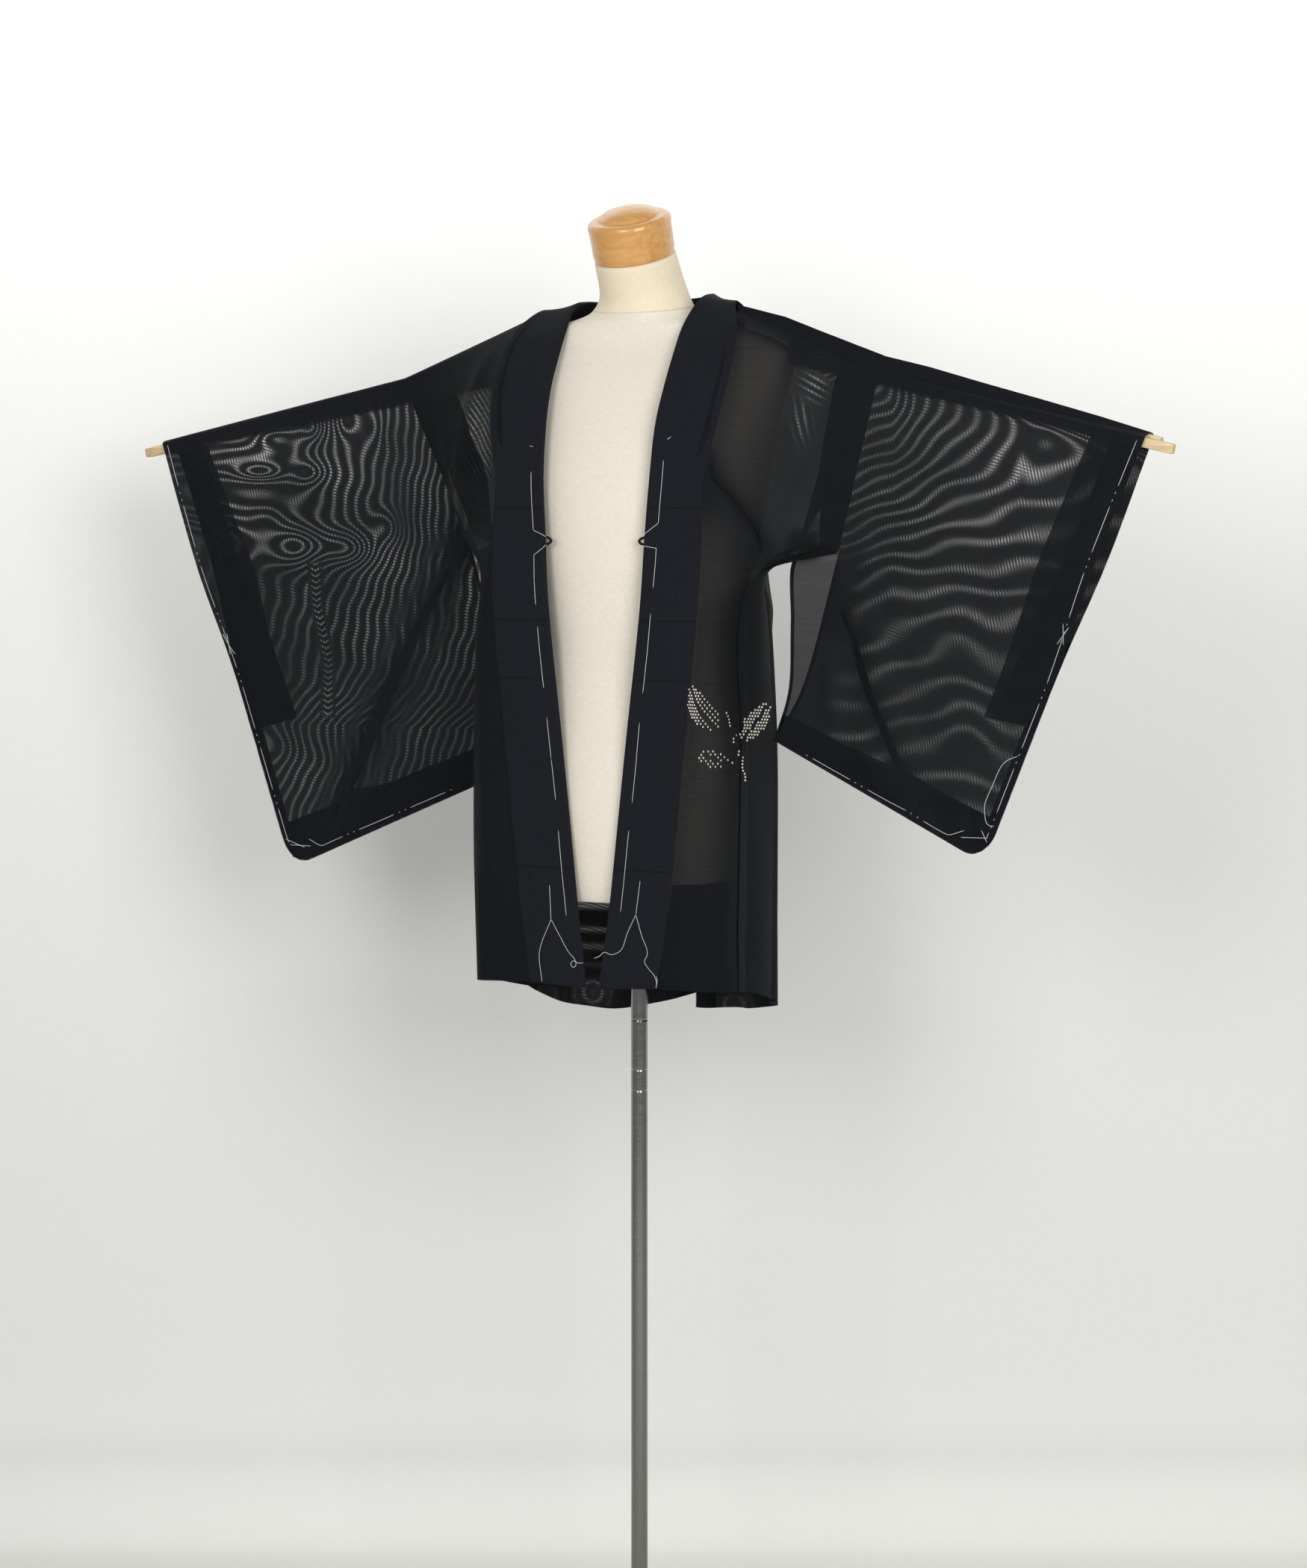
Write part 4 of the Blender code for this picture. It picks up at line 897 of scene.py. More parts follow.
def buildBody(side):
    # one length of cloth over the shoulder, then every turning on single patches inside it
    steps = {face: np.concatenate([even(0, 0.016, 9)[:-1], even(0.016, panelRows[face][-1][0], 150)])
             for face in outwardOf}
    across = even(0, 1, 72)
    front, frontMap = bodyPatch(side, "front", steps["front"], across, strength=1.0)
    back, backMap = bodyPatch(side, "back", steps["back"], across, strength=1.0)
    grids = [placed(side, around(back, front), around(backMap, frontMap), False)]
    deep = turnings["inside"]
    for face, rows in steps.items():
        end, turned = rows[-1], face == "back"
        widths = rows, rowWidths(panelGrid(side, face, rows, across))
        armhole, seam = even(0.003, 0.215, 60), even(0.20, end, 90)
        armholeWide = turnings["armhole"] * (1 - 0.55 * ramp(armhole, 0.12, 0.215))
        patches = [
            # hem turn-up, the allowance beside the armhole, and a narrow one beside the gusset
            (even(end - turnings["hem"], end - 0.0005, 36), even(0.0, 1.0, 60)[None, :], deep),
            (armhole, 1 - strip(armholeWide, armhole, *widths, 10, 1, 0.002), deep * 1.6),
            (seam, 1 - strip(turnings["seam"], seam, *widths, 5, 1, 0.002), deep * 2.4),
        ]
        for down, place, depth in patches:
            made = bodyPatch(side, face, down, place, depth, crowdingAndShade=crowdedAndShaded["turning"])
            grids.append(placed(side, *made, turned))
        if face == "front":
            # the panel runs on under the collar
            down = even(0.03, end, 110)
            place = strip(turnings["underCollar"], down, *widths, 4, -1, 0)
            patch, here = bodyPatch(side, face, down, place)
            patch[..., 1] += turnings["collarGap"] * np.array((1.0, 1.0, 0.8, 0.0))
            grids.append(placed(side, patch, here, turned))
        else:
            down = even(0.112, end, 110)
            place = strip(turnings["centre"], down, *widths, 5, 0, 1)
            grids.append(placed(side, *bodyPatch(side, face, down, place, deep * 2.4), turned))
            # the top edge runs up inside the collar
            down = even(0.036, 0.118, 60)
            rim = panelGrid(side, face, down, np.array([0.0]))[:, 0]
            outward = rim * (1.0, 1.0, 0.0) / np.hypot(rim[:, 0], rim[:, 1])[:, None]
            rise = outward * turnings["rimOut"] + (0.0, 0.0, turnings["rimUp"])
            rise = rise * ramp(down, 0.036, 0.075)[:, None]
            tucked = rim[:, None] + even(0, 1, 6)[None, :, None] * rise[:, None]
            grids.append(placed(side, tucked, bandsMap(tucked, side, 0.0, crowdedAndShaded["rim"]), turned))
    fronts["body", side] = front * (signOf[side], 1, 1), steps["front"], across
    return fitted(meshOf("body" + side.capitalize(), grids, gauze), "body_" + side)


def buildGusset(side):
    # straight across from the front panel's edge to the back one's, standing out a little
    share = even(0, 1, 70)
    top = shape["armholeLength"] + gussetShape["below"]
    near, far = (
        panelGrid(side, face, top + share * (panelRows[face][-1][0] - top), np.array([1.0]))[:, 0]
        for face in outwardOf)
    t = even(0, 1, 14)[None, :, None]
    grid = near[:, None] + (far - near)[:, None] * t
    uneven = 1 + gussetShape["uneven"] * np.sin(share * 9)[:, None]
    grid[..., 0] += gussetShape["out"] * np.sin(math.pi * t[..., 0]) * uneven
    hem = grid[-gussetShape["hemRows"]:] - np.array((turnings["inside"], 0.0, 0.0))
    maps = (bandsMap(layer, side, 0.0, crowdedAndShaded["gusset"]) for layer in (grid, hem))
    grids = [placed(side, layer, own, False) for layer, own in zip((grid, hem), maps)]
    return fitted(meshOf("gusset" + side.capitalize(), grids, gauze), "gusset_" + side)


def sleevePatch(side, face, down, across, depth=0.0, strength=0.0):
    # the same for a piece of the sleeve
    grid = inset(sleeveGrid(side, face, down, across), face, depth)
    across = np.broadcast_to(across, grid.shape[:2])
    here = bandsMap(grid, side, strength, crowdedAndShaded["sleeve"])
    hold = ramp(across, 0.0, 0.14) * ramp(across, 1.0, 0.93) * ramp(down, 1.0, 0.93)[:, None]
    return drawnIn("sleeve", side, face, grid, here, hold)


def buildSleeve(side):
    # front, bottom fold and back in one ring that starts and ends at the shoulder's fold
    down = np.concatenate([even(0, 0.034, 9)[:-1], even(0.034, 1, 190)])
    across = even(0, 1, 140)
    front, frontMap = sleevePatch(side, "front", down, across, strength=1.0)
    back, backMap = sleevePatch(side, "back", down, across, strength=1.0)
    front[0] = back[0] = (front[0] + back[0]) / 2
    middle = (front[-1] + back[-1]) / 2 - np.array((0.0, 0.0, 0.0004))
    ring = np.concatenate([front, middle[None], back[:0:-1], back[:1]])
    ringMap = np.concatenate([frontMap, frontMap[-1:], backMap[:0:-1], backMap[:1]])
    grids = [placed(side, ring, ringMap, False)]
    deep = turnings["inside"]
    width = rowWidths(sleeveGrid(side, "front", down, across))
    cuff, sewn = even(0.030, turnings["cuffEnd"], 110), even(shape["cuffOpen"] - 0.004, 0.997, 80)
    foot, seam = even(0.905, 0.997, 26), even(shape["armholeShare"] * 1.06, 0.997, 90)
    for face in outwardOf:
        cuffWide = even(*turnings["cuff"][side], len(cuff))
        if face == "back":
            cuffWide = cuffWide - turnings["cuffSetBack"]
        patches = [
            # cuff facing, the sewn part of the outer edge, the bottom strip, and the inner edge
            (cuff, 1 - strip(cuffWide, cuff, down, width, 26, 1, 0.001), deep),
            (sewn, 1 - strip(turnings["sewn"], sewn, down, width, 6, 1, 0.001), deep * 1.8),
            (foot, np.broadcast_to(even(0.002, 0.998, 110), (len(foot), 110)), deep * 2.6),
            (seam, strip(turnings["inner"], seam, down, width, 6, 0.001, 1), deep * 1.8),
        ]
        for rows, place, depth in patches:
            grids.append(placed(side, *sleevePatch(side, face, rows, place, depth), face == "back"))
    fronts["sleeve", side] = front * (signOf[side], 1, 1), down, across
    return fitted(meshOf("sleeve" + side.capitalize(), grids, gauze), "sleeve_" + side)


fronts = {}
for side in signOf:
    buildBody(side)
    buildGusset(side)
    buildSleeve(side)

# ---- collar
collarRows = (
    # in x    in y     in z    out x    out y    out z   inner leg
    (0.0080, -0.1085, 0.7450, 0.0778, -0.1068, 0.7480, 0.25),
    (0.0196, -0.1062, 0.8300, 0.0908, -0.1053, 0.8300, 0.25),
    (0.0300, -0.1055, 0.9240, 0.1013, -0.1052, 0.9240, 0.25),
    (0.0405, -0.1053, 1.0180, 0.1112, -0.1051, 1.0180, 0.25),
    (0.0560, -0.1050, 1.1500, 0.1248, -0.1045, 1.1500, 0.25),
    (0.0615, -0.1030, 1.2340, 0.1276, -0.0988, 1.2340, 0.25),
    (0.0656, -0.1000, 1.2950, 0.1273, -0.0940, 1.2900, 0.26),
    (0.0675, -0.0910, 1.3500, 0.1380, -0.0850, 1.3500, 0.28),
    (0.0700, -0.0755, 1.3920, 0.1428, -0.0745, 1.3850, 0.32),
    (0.0710, -0.0560, 1.4270, 0.1434, -0.0585, 1.4190, 0.38),
    (0.0728, -0.0340, 1.4580, 0.1372, -0.0352, 1.4540, 0.46),
    (0.0780, -0.0060, 1.4830, 0.1195, -0.0030, 1.4790, 0.60),
    (0.0770, 0.0250, 1.4890, 0.1170, 0.0280, 1.4690, 0.75),
    (0.0600, 0.0520, 1.4880, 0.0960, 0.0590, 1.4500, 0.90),
    (0.0320, 0.0640, 1.4860, 0.0500, 0.0820, 1.4360, 1.00),
    (0.0000, 0.0670, 1.4850, 0.0000, 0.0880, 1.4320, 1.00),
)
collarShape = {"rows": 150, "peak": {"left": 0.006, "right": 0.0}, "peakFrom": 1.42, "peakOver": 0.06,
               "band": 0.004, "half": 0.00075, "innerWidth": 0.93, "edge": 0.0012, "wave": 0.0011}
# columns of the outer leg, as shares of its width from the folded edge
collarShares = (0.017, 0.05, 0.12, 0.2, 0.3, 0.4, 0.5, 0.6, 0.7, 0.8, 0.88, 0.94, 0.98, 1.0)


def collarEdges(side, at):
    # folded edge, outer edge and the inner leg's share of the width, at fractional rows
    values = curveThrough(np.arange(len(collarRows)), collarRows, at)
    raised = np.clip((values[:, 2] - collarShape["peakFrom"]) / collarShape["peakOver"], 0, 1)
    values[:, [2, 5]] += collarShape["peak"][side] * raised[:, None]
    mirror = np.array((signOf[side], 1, 1))
    return values[:, :3] * mirror, values[:, 3:6] * mirror, values[:, 6]


def collarMiddle():
    # one row for each place along the band: inner leg, folded edge, outer leg
    last = len(collarRows) - 1
    half = even(0, last, collarShape["rows"])
    left, right = collarEdges("left", half), collarEdges("right", half[-2::-1])
    inner, outer = (np.concatenate([left[i], right[i]]) for i in (0, 1))
    leg = np.concatenate([left[2], right[2]])
    flap = outer - inner
    width = np.linalg.norm(flap, axis=1, keepdims=True)
    along = np.gradient(inner, axis=0)
    along /= np.linalg.norm(along, axis=1, keepdims=True)
    face = np.cross(along, flap / width)
    face /= np.linalg.norm(face, axis=1, keepdims=True)
    face *= np.sign((face * inner * (1.0, 1.0, 0.0)).sum(axis=1, keepdims=True))
    edge = flap / width * collarShape["edge"]
    reach = lengthAlong(outer)
    columns = []
    for share in (1.0, 0.8, 0.6, 0.4, 0.2, 0.1):
        under = flap * leg[:, None] * share * collarShape["innerWidth"]
        columns.append(inner + under - face * collarShape["band"] * min(share * 4, 1.0) + edge)
    for back, out in ((0.75, 0.35), (0.5, 0.0), (0.2, 0.35), (0.0, 1.0)):
        columns.append(inner - face * collarShape["band"] * back + edge * out)
    for share in collarShares[1:]:
        wave = np.sin(share * math.pi) * (np.sin(reach * 21) + 0.6 * np.sin(reach * 47 + 1))
        columns.append(inner + flap * share + face * (wave * collarShape["wave"])[:, None])
    return np.stack(columns, axis=1), reach, face


# the same gauze doubled round a plain lining strip: no light comes through, and it is as dull
collarLook, collarTree, collarShader = newMaterial("blackSilkGauzeDoubled", "#181a20", 0.85,
                                                   Specular_IOR_Level=0.14, Sheen_Weight=0.015)
# folding has pressed a few faint creases across it, at these heights, each drawn as a darker line of
# painted shade
pressed = {"at": (1.263, 1.142, 1.079, 0.874), "half": 0.0011, "darker": 0.30}
toneWithCreaseShade = ranged(collarTree, streaks(collarTree, (420, 420, 900), 2.0), 0.3, 0.7, 0.72, 1.16)
height = objectAxes(collarTree), "Z"
for line in pressed["at"]:
    # painted shade along each pressed crease
    onShadedCrease = maths(collarTree, "COMPARE", height, line, pressed["half"])
    toneWithCreaseShade = maths(collarTree, "MULTIPLY_ADD", onShadedCrease, -pressed["darker"], toneWithCreaseShade)
plain = {0: toLinear("#191b21")[:3]}
hue = addNode(collarTree, "VectorMath", {"Scale": toneWithCreaseShade}, plain, operation="SCALE")
joined(collarTree, collarShader, "Base Color", (hue, "Vector"))


def buildCollar():
    # a thin closed shell round the middle surface
    middle, reach, face = collarMiddle()
    normal = facing(middle)
    thick = np.full(middle.shape[1], collarShape["half"])
    thick[[0, -1]] *= 0.5
    upper, under = middle + normal * thick[:, None], middle - normal * thick[:, None]
    ring = np.concatenate([upper, under[:, ::-1]], axis=1)
    length = np.broadcast_to(reach[:, None], ring.shape[:2])
    share = np.broadcast_to(even(0, 1, ring.shape[1]), ring.shape[:2])
    place = np.stack([share, length, 0 * length, 0 * length], axis=-1)
    turned = (face[10] @ normal[10, -3]) < 0
    ends = (0, 0, not turned), (0, -1, turned)
    made = meshOf("collarBand", [(ring, place, turned, True)], collarLook, ends)
    return fitted(made, "collar"), middle


collar, collarSurface = buildCollar()
print("collar ready", areaOf(collar))


# ---- threads and marks laid on the cloth
def readGrid(grid, rows, columns):
    # the surface between its grid points, read at fractional rows and columns
    top = np.clip(rows.astype(int), 0, grid.shape[0] - 2)
    left = np.clip(columns.astype(int), 0, grid.shape[1] - 2)
    down, over = (rows - top)[:, None], (columns - left)[:, None]
    return ((1 - down) * ((1 - over) * grid[top, left] + over * grid[top, left + 1])
            + down * ((1 - over) * grid[top + 1, left] + over * grid[top + 1, left + 1]))


def onCollar(side, places, lift=0.0012):
    # places are height and distance in from the folded edge; outside it a thread hangs free
    places = np.asarray(places, float)
    # the rows from the hem up to where the band goes behind the neck
    at = even(0, 11, 400)
    inner, outer = collarEdges(side, at)[:2]
    where = np.interp(places[:, 0], inner[:, 2], at)
    wide = np.interp(where, at, np.linalg.norm(outer - inner, axis=1))
    rows = where / (len(collarRows) - 1) * (collarShape["rows"] - 1)
    if side == "right":
        rows = len(collarSurface) - 1 - rows
    share = places[:, 1] / wide
    first = collarSurface.shape[1] - len(collarShares)
    columns = first + np.interp(share, collarShares, np.arange(len(collarShares)))
    normal = facing(collarSurface)
    normal *= np.sign((normal[..., 1] * -1).mean())
    points = readGrid(collarSurface, rows, columns) + readGrid(normal, rows, columns) * lift
    points[:, 0] += signOf[side] * np.minimum(share, 0) * wide
    return points


def onSleeve(side, places, lift=0.0009):
    # places are the share of the way down and the distance in from the outer edge
    grid, down, across = fronts["sleeve", side]
    places = np.asarray(places, float)
    rows = np.interp(places[:, 0], down, np.arange(len(down)))
    wide = np.interp(rows, np.arange(len(down)), rowWidths(grid))
    columns = (1 - places[:, 1] / wide) * (len(across) - 1)
    points = readGrid(grid, rows, columns)
    points[:, 1] -= lift
    return points


def dashes(path, long, pattern):
    # the path cut into stitches: pattern is stitch and gap lengths by turns
    length = lengthAlong(path)
    pieces, at, number = [], long, 0
    while at < length[-1] - 0.002:
        stitch, gap = pattern[number % len(pattern)]
        end = min(at + stitch, length[-1])
        spots = even(at, end, max(4, int((end - at) / 0.003)))
        pieces.append(np.stack([np.interp(spots, length, path[:, i]) for i in range(3)], axis=-1))
        at = end + gap
        number += 1
    return pieces


thread = {"radius": 0.00027, "inset": {"left": 0.0150, "right": 0.0135}, "sleeveInset": 0.0068,
          "pattern": ((0.051, 0.0062), (0.0024, 0.0062), (0.0024, 0.0052)), "hangIn": 0.0026,
          "hangApart": 0.0042, "footAt": 0.984, "footCurve": 0.030}
collarStitches = {
    "right": ((1.303, 1.239), (1.212, 1.158), (1.135, 1.068), (1.037, 0.947), (0.915, 0.822)),
    "left": ((1.315, 1.247), (1.220, 1.178), (1.151, 1.065), (1.034, 0.947), (0.918, 0.829)),
}
collarTicks = {"right": ((1.3300, 0.0170), (1.3290, 0.0120)),
               "left": ((1.3360, 0.0165), (1.3390, 0.0212))}
# tied ends near the hem, height and distance in from the folded edge
looseEnds = {
    "right": (((0.855, 0.031), (0.8175, 0.033)), ((0.8175, 0.033), (0.779, 0.052), (0.747, 0.053)),
              ((0.8175, 0.033), (0.800, 0.024), (0.7815, 0.014), (0.775, 0.0085), (0.769, 0.008),
               (0.7665, 0.0115), (0.770, 0.0140), (0.7735, 0.0110), (0.7715, 0.004), (0.7722, -0.002))),
    "left": (((0.864, 0.035), (0.827, 0.034)),
             ((0.827, 0.034), (0.808, 0.027), (0.786, 0.020), (0.7826, 0.010), (0.785, 0.002),
              (0.7800, -0.005), (0.7778, -0.011)),
             ((0.827, 0.034), (0.8050, 0.044), (0.783, 0.054), (0.776, 0.052), (0.768, 0.058),
              (0.760, 0.066), (0.750, 0.0715), (0.7462, 0.0745), (0.7490, 0.0775), (0.755, 0.0745),
              (0.760, 0.068))),
}
sleeveMarks = {
    # opening's end, and crossed stitches at the rounded corner: share down, distance in
    "right": (((0.470, 0.0035), (0.494, 0.0060), (0.520, 0.0115)), ((0.472, 0.0100), (0.518, 0.0040)),
              ((0.938, 0.004), (0.972, 0.026)), ((0.955, 0.007), (0.974, 0.034))),
    "left": (((0.455, 0.0110), (0.480, 0.0070), (0.500, 0.0040)), ((0.460, 0.0040), (0.502, 0.0105)),
             ((0.948, 0.005), (0.974, 0.034)), ((0.960, 0.003), (0.938, 0.016)),
             ((0.757, 0.008), (0.773, 0.018), (0.835, 0.0230), (0.896, 0.0210), (0.921, 0.010),
              (0.918, 0.004))),
}
loopShape = {"z": 1.2275, "half": 0.0048, "reach": 0.0070, "radius": 0.0015}

# bleached cotton basting thread: two plies, soft and matt
threadLook, threadTree, threadShader = newMaterial("whiteCottonThread", "#d6d8da", 0.8)
bumped(threadTree, threadShader, streaks(threadTree, (900, 900, 900), 2.0), 0.4, 0.0003)


def buildThreads():
    # the collar's stitches end and start at its loop; the sleeve's run down the cuff, then inwards
    made = {}
    for side in signOf:
        inward, paths = thread["inset"][side], []
        edge, apart = thread["hangIn"] - loopShape["reach"], thread["hangApart"]
        for number, (top, bottom) in enumerate(collarStitches[side]):
            places = [(top, inward), ((top + bottom) / 2, inward + 0.0003), (bottom, inward)]
            if number == 0:
                places.append((loopShape["z"] + apart, edge))
            if number == 1:
                places.insert(0, (loopShape["z"] - apart, edge))
            dense = np.concatenate([even(a, b, 12) for a, b in zip(places[:-1], places[1:])])
            paths.append(onCollar(side, dense))
        paths.append(finer(onCollar(side, collarTicks[side]), 0.001))
        paths += [finer(onCollar(side, ends), 0.0015) for ends in looseEnds[side]]
        made["collar", side] = paths
        down = even(0.030, 0.950, 160)
        edgePath = onSleeve(side, np.stack([down, 0 * down + thread["sleeveInset"]], axis=-1))
        paths = dashes(edgePath, 0.004, thread["pattern"])
        low = even(0.034, 0.235, 80)
        drop = thread["footAt"] - thread["footCurve"] * (1 - ramp(low, 0.030, 0.050))
        paths += dashes(onSleeve(side, np.stack([drop, low], axis=-1)), 0.0, thread["pattern"])
        paths += [finer(onSleeve(side, marks), 0.0015) for marks in sleeveMarks[side]]
        made["sleeve", side] = paths
    for (kind, side), paths in made.items():
        name = kind + "Basting" + side.capitalize()
        fitted(meshOf(name, tube(paths, thread["radius"]), threadLook))


def buildLoop(side):
    # a narrow bight of cord that comes out between the collar's two legs and back in
    half, reach, z = loopShape["half"], loopShape["reach"], loopShape["z"]
    root = onCollar(side, [(z, 0.003)], -0.0020)[0]
    out = np.array((-signOf[side], 0.0, 0.0))
    up = np.array((0.0, 0.0, 1.0))
    # how far out and how far up each point stands
    upper = [(-0.001, half), (reach * 0.45, half * 0.85), (reach + 0.0022, half * 0.28)]
    lower = [(away, -rise) for away, rise in upper[::-1]]
    path = [root + out * away + up * rise for away, rise in upper + [(reach + 0.0030, 0)] + lower]
    grids = tube([finer(path, 0.0006)], loopShape["radius"], 10)
    made = meshOf("loopCord" + side.capitalize(), grids, collarLook)
    fitted(made, "loop_" + side)


buildThreads()
for side in signOf:
    buildLoop(side)

# A plain pattern of two leaves on a stem in pale dots, on the wearer's left front.
motif = {
    "spacing": 0.0033, "dot": 0.00118, "midrib": 0.0016, "x": (0.085, 0.205), "z": (0.955, 1.095),
    # radius of each ring of a dot, as a share, and how far it stands out
    "dome": ((1.0, -0.00005), (0.75, 0.00028), (0.02, 0.00034)), "proud": 0.0002, "sides": 8,
    # centre x, z, half length, half width, direction in degrees
    "leaves": ((0.128, 1.052, 0.0300, 0.0125, 118), (0.168, 1.034, 0.0290, 0.0120, 52),
               (0.140, 0.996, 0.0170, 0.0080, 140)),
    "stem": ((0.158, 0.972), (0.151, 1.000), (0.1490, 1.025), (0.1470, 1.045)),
}


def buildMotif():
    # dots on a staggered grid inside each leaf, with its midrib left clear, and a row up the stem
    step = motif["spacing"]
    x, z = np.meshgrid(np.arange(*motif["x"], step), np.arange(*motif["z"], step))
    x = x + (np.arange(len(x)) % 2)[:, None] * step / 2
    keep = np.zeros(x.shape, bool)
    for cx, cz, halfLong, halfWide, turn in motif["leaves"]:
        cosine, sine = math.cos(math.radians(turn)), math.sin(math.radians(turn))
        u = (x - cx) * cosine + (z - cz) * sine
        v = -(x - cx) * sine + (z - cz) * cosine
        keep |= (np.abs(v) < halfWide * (1 - (u / halfLong) ** 2)) & (np.abs(v) > motif["midrib"])
    stem = finer([(a, 0, b) for a, b in motif["stem"]], step)
    places = np.concatenate([np.stack([x[keep], z[keep]], axis=-1), stem[:, [0, 2]]])
    # how far back the cloth lies, from its four nearest points
    surface = fronts["body", "left"][0].reshape(-1, 3)
    gap = ((places[:, None] - surface[None, :, [0, 2]]) ** 2).sum(axis=-1)
    near = np.argsort(gap, axis=1)[:, :4]
    weight = 1 / (np.take_along_axis(gap, near, axis=1) + 1e-9)
    y = (surface[near, 1] * weight).sum(axis=1) / weight.sum(axis=1)
    turn = circle(motif["sides"])
    # each dot is a low dome: a rim on the cloth and a small flat top
    rings = []
    for radius, height in motif["dome"]:
        ring = np.zeros((len(places), len(turn), 3))
        ring[..., 0] = places[:, :1] + motif["dot"] * radius * np.cos(turn)
        ring[..., 1] = y[:, None] - motif["proud"] - height
        ring[..., 2] = places[:, 1:] + motif["dot"] * radius * np.sin(turn)
        rings.append(ring)
    dots = np.stack(rings, axis=1)
    fitted(meshOf("dottedLeaves", [(dot, None, True, True) for dot in dots], dotLook))
    print("dots", len(places))


# thick bleached yarn knots, matt and a little uneven in colour
dotLook = newMaterial("paleYarnDots", "#cfc9ba", 0.85)[0]
buildMotif()

# ---- form, cap, slats and stand
formRows = (
    # z      half   front   back   tip
    (0.8375, 0.112, 0.086, 0.088, 0.000), (0.8420, 0.118, 0.093, 0.095, 0.000),
    (0.9000, 0.127, 0.098, 0.104, 0.000), (0.9600, 0.130, 0.099, 0.107, 0.000),
    (1.0300, 0.124, 0.093, 0.098, 0.000), (1.1000, 0.117, 0.087, 0.088, 0.000),
    (1.1600, 0.122, 0.090, 0.088, 0.000), (1.2200, 0.136, 0.094, 0.092, 0.000),
    (1.2800, 0.146, 0.093, 0.092, 0.000), (1.3300, 0.156, 0.084, 0.090, 0.000),
    (1.3700, 0.170, 0.070, 0.077, 0.000), (1.4000, 0.181, 0.058, 0.062, 0.000),
    (1.4250, 0.186, 0.044, 0.052, 0.000), (1.4400, 0.172, 0.036, 0.041, 0.010),
    (1.4520, 0.142, 0.033, 0.037, 0.030), (1.4620, 0.106, 0.033, 0.040, 0.060),
    (1.4700, 0.076, 0.034, 0.047, 0.100), (1.4800, 0.058, 0.036, 0.056, 0.150),
    (1.5000, 0.0475, 0.0375, 0.0545, 0.250), (1.5350, 0.0440, 0.0530, 0.0340, 0.344),
)
formShape = {"sides": 120, "rows": 150, "squareness": 0.92, "neckFrom": 1.468, "neckTilt": 0.344,
             "neckOver": 0.006, "seamAt": 1.4805, "seamOver": 0.001, "underIn": 0.965,
             "underDrop": 0.0002, "capFoot": (0.0, -0.010, 1.535), "capGap": 0.0006}


def buildForm():
    # rings of half width, front and back depth, tipped forwards by the tip's share of their depth
    keys = np.arange(len(formRows))
    values = curveThrough(keys, formRows, even(0, keys[-1], formShape["rows"]))
    z, half, front, back, tip = (values[:, i:i + 1] for i in range(5))
    angle = circle(formShape["sides"])[None, :]
    cosine, sine = np.cos(angle), np.sin(angle)
    # squared rings for the torso turn to plain ellipses for the neck
    start, over = formShape["neckFrom"], formShape["neckOver"]
    neck = ramp(z, start - over, start + over)
    power = formShape["squareness"] * (1 - neck) + neck
    middle = (back - front) / 2
    x = half * np.sign(cosine) * np.abs(cosine) ** power
    torsoY = np.where(sine < 0, front, back) * np.sign(sine) * np.abs(sine) ** power
    neckY = middle + (front + back) / 2 * sine
    y = torsoY * (1 - neck) + neckY * neck
    grid = np.stack([x, y, z + tip * (y - middle)], axis=-1)
    under = grid[:1].copy()
    under[..., :2] *= formShape["underIn"]
    under[..., 2] -= formShape["underDrop"]
    whole = np.concatenate([under, grid])
    share = np.zeros(whole.shape[:2] + (4,))
    seam, over = formShape["seamAt"], formShape["seamOver"]
    share[1:, :, 0] = ramp(z, seam - over, seam + over)
    share[1:, :, 1] = z
    made = meshOf("formTorso", [(whole, share, True, True)], linen, ((0, 0, True), (0, -1, False)))
    fitted(made, "form_torso")


def linenLook():
    # linen plain weave glued over a moulded form: matt, warm cream, with slubs both ways that are
    # drawn about 1 mm wide. The neck's own piece is yellower and meets the torso in a seam
    made, tree, shader = newMaterial("creamLinen", "#efe6d6", 0.85, Sheen_Weight=0.1)
    both = maths(tree, "ADD", streaks(tree, (150, 150, 1100)), streaks(tree, (1100, 1100, 150)))
    parts = ownMap(tree)
    onNeck, height = (parts, "X"), (parts, "Y")
    pale, dark = mixed(tree, onNeck, "#f2eadb", "#f6e8ce"), mixed(tree, onNeck, "#e9dfcd", "#efdebe")
    woven = mixed(tree, ranged(tree, both, 0.75, 1.25), dark, pale)
    seam = maths(tree, "MULTIPLY", maths(tree, "COMPARE", height, formShape["seamAt"], 0.0008), 0.55)
    joined(tree, shader, "Base Color", mixed(tree, seam, woven, "#c9b891"))
    bumped(tree, shader, both, 0.30, 0.0005)
    return made


def woodLook(name, pale, dark, roughness, scale, **sockets):
    # two tones of one wood in streaks along its grain
    made, tree, shader = newMaterial(name, pale, roughness, **sockets)
    grain = ranged(tree, streaks(tree, scale, 5.0), 0.38, 0.64)
    joined(tree, shader, "Base Color", mixed(tree, grain, pale, dark))
    return made


linen = linenLook()
# light straight-grained wood, turned and varnished: honey yellow under a clear glossy coat
honeyWood = woodLook("varnishedWood", "#dca55f", "#d09550", 0.30, (9, 150, 150),
                     Coat_Weight=0.5, Coat_Roughness=0.12)
# sawn softwood strip, planed and left bare: pale, dull, with grain along its length
paleWood = woodLook("bareSoftwood", "#e6cfa8", "#cfb184", 0.55, (12, 380, 380))
# drawn steel tube, polished and chromed: grey mirror with faint wiping marks round it
chrome, chromeTree, chromeShader = newMaterial("chromedSteel", "#8f8e8b", 0.16, Metallic=1.0)
wiped = ranged(chromeTree, streaks(chromeTree, (40, 40, 500)), 0.3, 0.7, 0.12, 0.24)
joined(chromeTree, chromeShader, "Roughness", wiped)
buildForm()

